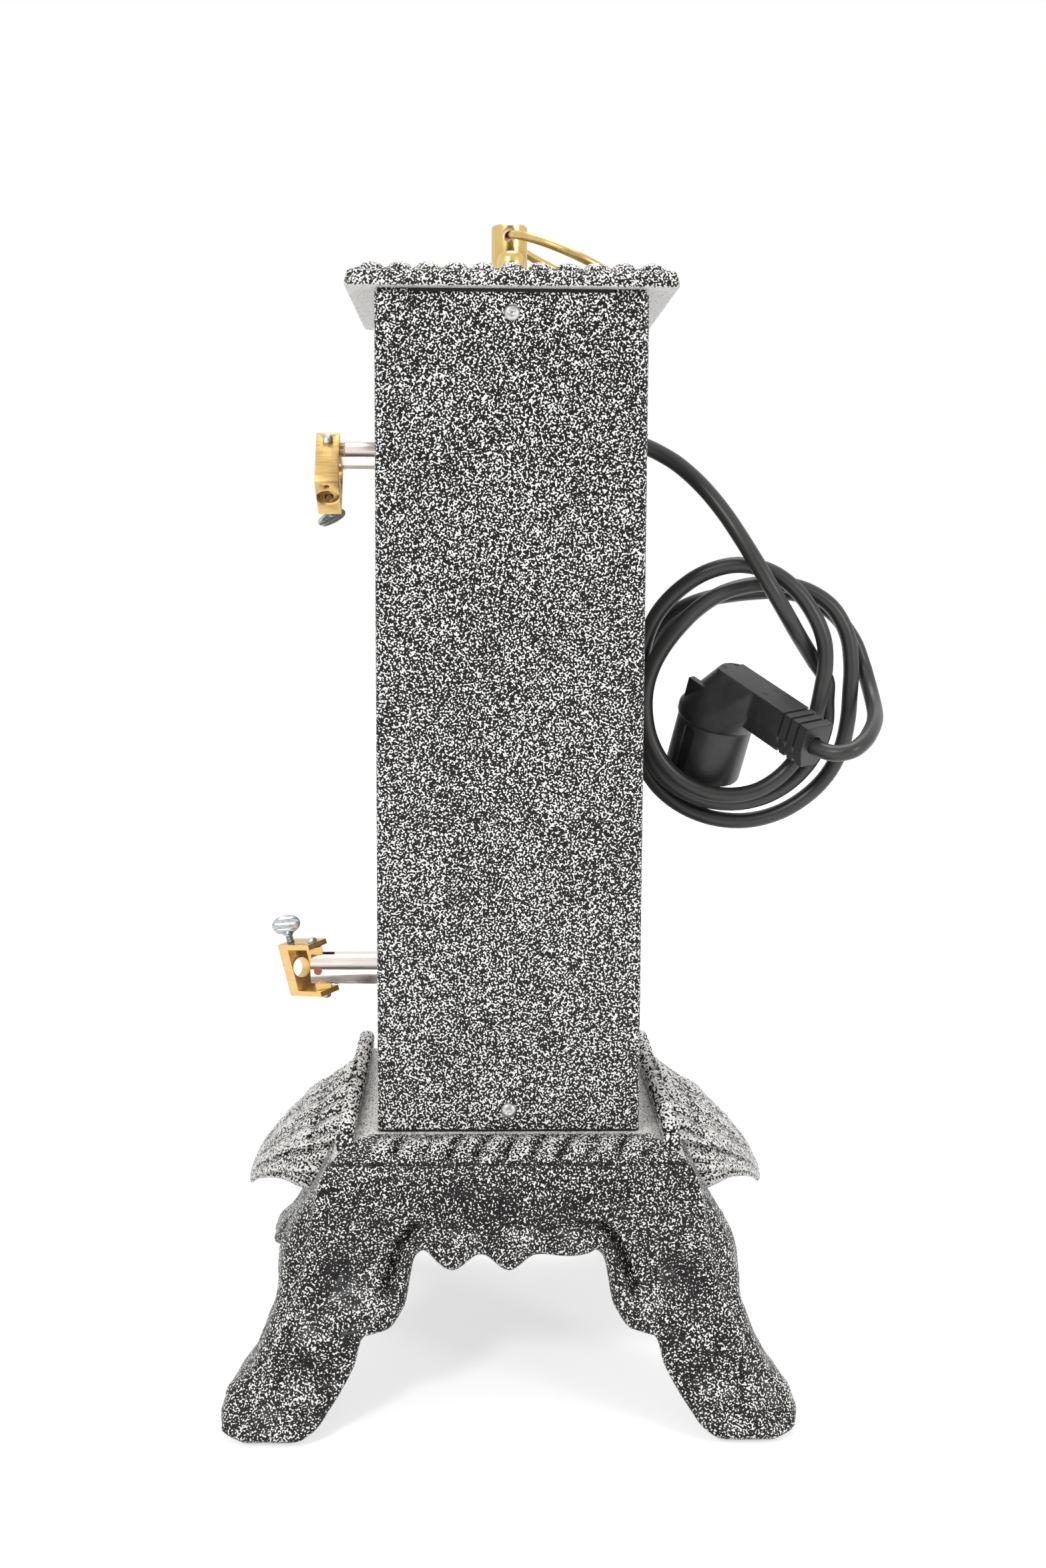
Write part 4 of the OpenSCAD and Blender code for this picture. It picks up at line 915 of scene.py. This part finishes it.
# Pulled aluminium rivets: a domed head with the dimple that the mandrel leaves
rivet_mesh = bmesh.new()
for turned in (0, math.pi):
    for z in (deck_z + 9.8, 481.2):
        place = Matrix.Rotation(turned, 4, "Z") @ Matrix.Translation((0, -70, z)) @ Matrix.Rotation(math.pi / 2, 4, "X")
        lathed(rivet_mesh, [(0, 0.02), (3.5, 0.02), (3.5, 0.3), (3.35, 0.6), (3.0, 1.0), (2.5, 1.32), (2.0, 1.52),
                            (1.65, 1.58), (1.4, 1.52), (1.2, 1.3), (1.0, 1.2), (0, 1.17)], place)
bmesh.ops.recalc_face_normals(rivet_mesh, faces=rivet_mesh.faces)
made = bpy.data.meshes.new("rivet_heads")
rivet_mesh.to_mesh(made)
rivet_mesh.free()
rivet_metal = metal("rivet_aluminium", ((0.2, "#a4a3a0"), (0.55, "#bebdba"), (0.95, "#d0cfcc")), 0.3, 2, 2)
rivet_heads = link_mesh("rivet_heads", made, rivet_metal, smooth_angle=60)
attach(rivet_heads, "tower")
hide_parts("cover_rivets")

pan_zinc = metal("galvanised_sheet", ((0.35, "#868a8d"), (0.55, "#a9adb0"), (0.72, "#c6cacc")), 0.42, 9, 5,
                 bump=0.01)
dress(["bottom_plate", "gear_frame"], pan_zinc)
first_coat, tree, shader, place = new_finish("first_coat_enamel", Roughness=0.5)
thin = add(tree, "ShaderNodeTexNoise", {"Scale": 400, "Detail": 3}, {"Vector": place}).outputs["Fac"]
tree.links.new(tones(tree, thin, (0.3, "#171414"), (0.75, "#231f1f")), shader.inputs["Base Color"])
dress(["top_plate"], first_coat)

# --- Cap: a cast plate with a tapered rim and a row of beads inside its edge, over the whole tower.
# The same casting and enamel as the stand; its flat underside is given more of the pale coat as painted light.
cap_x, cap_y = 71.5, 76
rim_low, rim_high = 491.5, 498.5
bead_spacing = 12
cap_enamel = speckled_enamel("speckled_enamel_on_cap", 0.83, "#131011", "#f8f6f3", cover=-0.035, soft=0.035,
                             proud=0.05)


def cap_plate_mesh():
    """The plate: its outline in steps up the rim, then in over the pad to the holes' level."""
    under = [(1.6, rim_low), (0.5, rim_low + 0.1), (0, rim_low + 0.6)]
    outside = [(0, rim_low + 1.6), (0.15, rim_low + 3), (0.9, rim_high - 1.6), (1.3, rim_high - 0.7),
               (2.1, rim_high - 0.1), (2.7, rim_high), (3.3, rim_high - 0.5), (4.2, rim_high + 0.9),
               (6, rim_high + 1.4), (9.4, rim_high + 1.4), (11, rim_high + 0.9), (12.1, rim_high - 0.4),
               (13.2, rim_high + 0.2), (14.2, rim_high + 1.7), (15.2, rim_high + 1.9)]
    mesh = bmesh.new()
    level = mesh.verts.layers.float.new("level")

    def ring(inset, z):
        x, y, r = cap_x - inset, cap_y - inset, max(0.6, 3.5 - inset)
        out = []
        for cx, cy, a0 in ((x - r, y - r, 0), (-x + r, y - r, 90), (-x + r, -y + r, 180), (x - r, -y + r, 270)):
            out += [mesh.verts.new(Vector((cx + r * math.cos(math.radians(a0 + 15 * k)),
                                           cy + r * math.sin(math.radians(a0 + 15 * k)), z)) * MM) for k in range(7)]
        return out

    rings = [ring(i, z) for i, z in under + outside]
    # Level for each ring: the underside high, a painted light; the rings at the feet of the bead row low, a painted
    # shade
    for depth, at in zip((8, 6, 0, 0, 0, 0, 0, 0, -1.5, -3.5, 0, 1, 1, 0, -3.5, -2, 0.5, 0), rings):
        for vert in at:
            vert[level] = depth
    for one, two in zip(rings, rings[1:]):
        n = len(one)
        for k in range(n):
            mesh.faces.new((one[k], one[(k + 1) % n], two[(k + 1) % n], two[k]))
    mesh.faces.new(rings[0][::-1])
    mesh.faces.new(rings[-1])
    bmesh.ops.recalc_face_normals(mesh, faces=mesh.faces)
    bmesh.ops.triangulate(mesh, faces=[f for f in mesh.faces if len(f.verts) > 4])
    made = bpy.data.meshes.new("cap_plate")
    mesh.to_mesh(made)
    mesh.free()
    return made


cap_plate = link_mesh("cap_plate", cap_plate_mesh(), cap_enamel, smooth_angle=50)
bead_x, bead_y, bead_z = cap_x - 7.6, cap_y - 7.6, rim_high + 0.2
cap_beads = bead_row("cap_beads",
                     [[(-5 * bead_spacing, s * bead_y, bead_z), (5 * bead_spacing + 0.01, s * bead_y, bead_z)]
                      for s in (-1, 1)]
                     + [[(s * bead_x, -4.5 * bead_spacing, bead_z), (s * bead_x, 4.5 * bead_spacing + 0.01, bead_z)]
                        for s in (-1, 1)], cap_enamel, bead_spacing, 5.5, 0.68)
for piece in (cap_plate, cap_beads):
    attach(piece, "tower")
    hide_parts("cap")

# --- Fittings on the cap: two domed nuts, a drilled stud and the carrying ring, all brass.
# Turned from bar and lacquered; the ring is drawn wire, bent round and brazed.
turned_brass = metal("turned_brass", ((0.2, "#c29f55"), (0.55, "#dcbb74"), (0.95, "#ecd49b")), 0.2, 12, 30,
                     bump=0.003)
brass_wire = metal("drawn_brass_wire", ((0.2, "#c4a35e"), (0.55, "#d8ba78"), (0.95, "#e6cf98")), 0.24, 20, 6,
                   bump=0.004)
dress(["cap_stud", "cap_nuts"], turned_brass)
dress(["carrying_ring"], brass_wire)

# --- Gear train: five steel gears between the front panel and the frame, driven by one motor.
# Hobbed gears with a film of grease; sintered bronze bushes; a plain grey motor can.
gear_steel = metal("hobbed_gear_steel", ((0.38, "#5f5b55"), (0.55, "#8f8c87"), (0.7, "#b3b1ad")), 0.36, 2, 0.7,
                   axis=0, Coat_Weight=0.3, Coat_Roughness=0.25)
oiled_bronze = metal("sintered_bronze", ((0.2, "#5b4a3a"), (0.55, "#80694f"), (0.95, "#a08a6c")), 0.5, 0.8, 0.8,
                     bump=0.03)
dress(["lower_gear", "upper_gear", "drive_gear", "lower_idler", "upper_idler", "lower_collar", "upper_collar",
       "idler_axles", "axle_clips", "motor_shaft"], gear_steel)
dress(["front_bushes", "rear_bushes"], oiled_bronze)
motor_can = metal("drawn_motor_can", ((0.35, "#4d5154"), (0.55, "#6c7174"), (0.7, "#85898c")), 0.4, 30, 0.8)
dress(["gear_motor"], motor_can)

# --- Shafts: steel tube with bright nickel plating, slotted at the end for the cross block.
# The plating is polished along its length, so it mirrors the room in long bands.
nickel_plate = metal("nickel_plated_tube", ((0.2, "#ddd0c8"), (0.55, "#efe4dd"), (0.95, "#f6eee9")), 0.14, 14, 0.6,
                     axis=0, bump=0.008, spread=0.08)
pin_copper = metal("heat_tinted_pin", ((0.2, "#5e3526"), (0.55, "#8f5a45"), (0.95, "#c08c70")), 0.28, 4, 0.5, axis=1)
dress(["lower_shaft", "upper_shaft", "plug_pins"], nickel_plate)
dress(["lower_cross_pin", "upper_cross_pin"], pin_copper)

# --- Universal joints: a block on a pin in each shaft, and a yoke that swings on two screws.
# Milled from brass bar, so the edges are broken by hand and the faces show the cutter's run.
milled_brass = metal("milled_brass", ((0.2, "#c39d58"), (0.55, "#dab574"), (0.95, "#ecd09a")), 0.3, 0.45, 9,
                     bump=0.02, spread=0.16)


def crisp(name, body, finish, bevel, smooth_angle=38):
    """A copy of a CAD node with its edges broken, riding on a body in the node's place."""
    mesh = bmesh.new()
    mesh.from_mesh(nodes[name].data)
    bmesh.ops.remove_doubles(mesh, verts=mesh.verts, dist=0.00001)
    bmesh.ops.dissolve_limit(mesh, angle_limit=math.radians(0.5), verts=mesh.verts, edges=mesh.edges)
    sharp = [e for e in mesh.edges if len(e.link_faces) == 2 and e.calc_face_angle(0) > math.radians(35)]
    bmesh.ops.bevel(mesh, geom=sharp, offset=bevel * MM, segments=2, profile=0.5, affect="EDGES",
                    clamp_overlap=True)
    bmesh.ops.remove_doubles(mesh, verts=mesh.verts, dist=0.000004)
    bmesh.ops.dissolve_degenerate(mesh, edges=mesh.edges, dist=0.000003)
    bmesh.ops.triangulate(mesh, faces=[f for f in mesh.faces if len(f.verts) > 4])
    bmesh.ops.recalc_face_normals(mesh, faces=mesh.faces)
    made = bpy.data.meshes.new(name + "_finished")
    mesh.to_mesh(made)
    mesh.free()
    piece = link_mesh(name + "_finished", made, finish, smooth_angle)
    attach(piece, body)
    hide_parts(name)
    return piece


crisp("lower_yoke", "lower_fork", milled_brass, 0.3)
crisp("upper_yoke", "upper_fork", milled_brass, 0.3)
dress(["lower_block", "upper_block"], milled_brass)
dress(["lower_pivot_screws", "upper_pivot_screws"], zinc_plate)


def thumb_screw(name, body, place, turn):
    """A thumb screw: threaded shank, neck, and a flat oval head with three ribs across each face."""
    mesh = bmesh.new()
    profile = [(0, 5.5), (1.5, 5.5)]
    profile += [(1.98 if k % 2 else 1.7, 5.9 + 0.36 * k) for k in range(30)]
    profile += [(1.98, 16.7), (2.5, 16.8), (2.5, 17.5), (1.9, 18.6), (0, 18.6)]
    lathed(mesh, profile, place @ Matrix.Translation((-19.3, 0, 0)), 28)
    head = place @ Matrix.Translation((-19.3, 0, 21.9)) @ Matrix.Rotation(math.radians(turn), 4, "Z")
    rows = []
    for i in range(1, 40):
        t = math.pi * i / 40
        row = []
        for k in range(56):
            p = 2 * math.pi * k / 56
            x, z = 7.1 * math.sin(t) * math.cos(p), 4.9 * math.sin(t) * math.sin(p)
            rib = 0.25 * math.cos(2 * math.pi * (z + 0.16 * x) / 2.9) * (1 - math.sin(t) ** 6)
            y = math.copysign(1.25 * abs(math.cos(t)) ** 0.5, math.cos(t)) + rib * np.sign(round(math.cos(t), 6))
            row.append(mesh.verts.new(head @ Vector((x, y, z)) * MM))
        rows.append(row)
    for one, two in zip(rows, rows[1:]):
        for k in range(56):
            mesh.faces.new((one[k], one[(k + 1) % 56], two[(k + 1) % 56], two[k]))
    for row, side in ((rows[0], 1.45), (rows[-1], -1.45)):
        tip = mesh.verts.new(head @ Vector((0, side, 0)) * MM)
        for k in range(56):
            mesh.faces.new((row[k], row[(k + 1) % 56], tip))
    bmesh.ops.recalc_face_normals(mesh, faces=mesh.faces)
    made = bpy.data.meshes.new(name)
    mesh.to_mesh(made)
    mesh.free()
    piece = link_mesh(name, made, screw_chrome, smooth_angle=60)
    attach(piece, body)
    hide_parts(name.replace("_finished", ""))


screw_chrome = metal("bright_plated_screw", ((0.2, "#969b9d"), (0.55, "#aeb3b4"), (0.95, "#c6cacb")), 0.26, 4, 2,
                     bump=0.004, spread=0.06)
lower_place = (Matrix.Translation((-90.6, 0, 180)) @ Matrix.Rotation(math.radians(-14.2), 4, "Y")
               @ Matrix.Rotation(math.radians(-50), 4, "Z"))
upper_place = (Matrix.Translation((-83.7, 0, 424)) @ Matrix.Rotation(math.radians(57.3), 4, "X")
               @ Matrix.Rotation(math.radians(90), 4, "Z") @ Matrix.Rotation(math.pi, 4, "X"))
thumb_screw("lower_thumb_screw_finished", "lower_screw", lower_place, 46)
thumb_screw("upper_thumb_screw_finished", "upper_screw", upper_place, 62)

# --- Wiring: the cord's end goes from the gland to a terminal block on the rear panel.
# Glass-filled nylon, moulded in ivory, with brass clamps inside.
nylon, tree, shader, place = new_finish("ivory_nylon", Roughness=0.45, Subsurface_Weight=0.05)
tint = add(tree, "ShaderNodeTexNoise", {"Scale": 220, "Detail": 3}, {"Vector": place}).outputs["Fac"]
tree.links.new(tones(tree, tint, (0.3, "#cfcabb"), (0.75, "#ddd9cc")), shader.inputs["Base Color"])
dress(["terminal_block"], nylon)
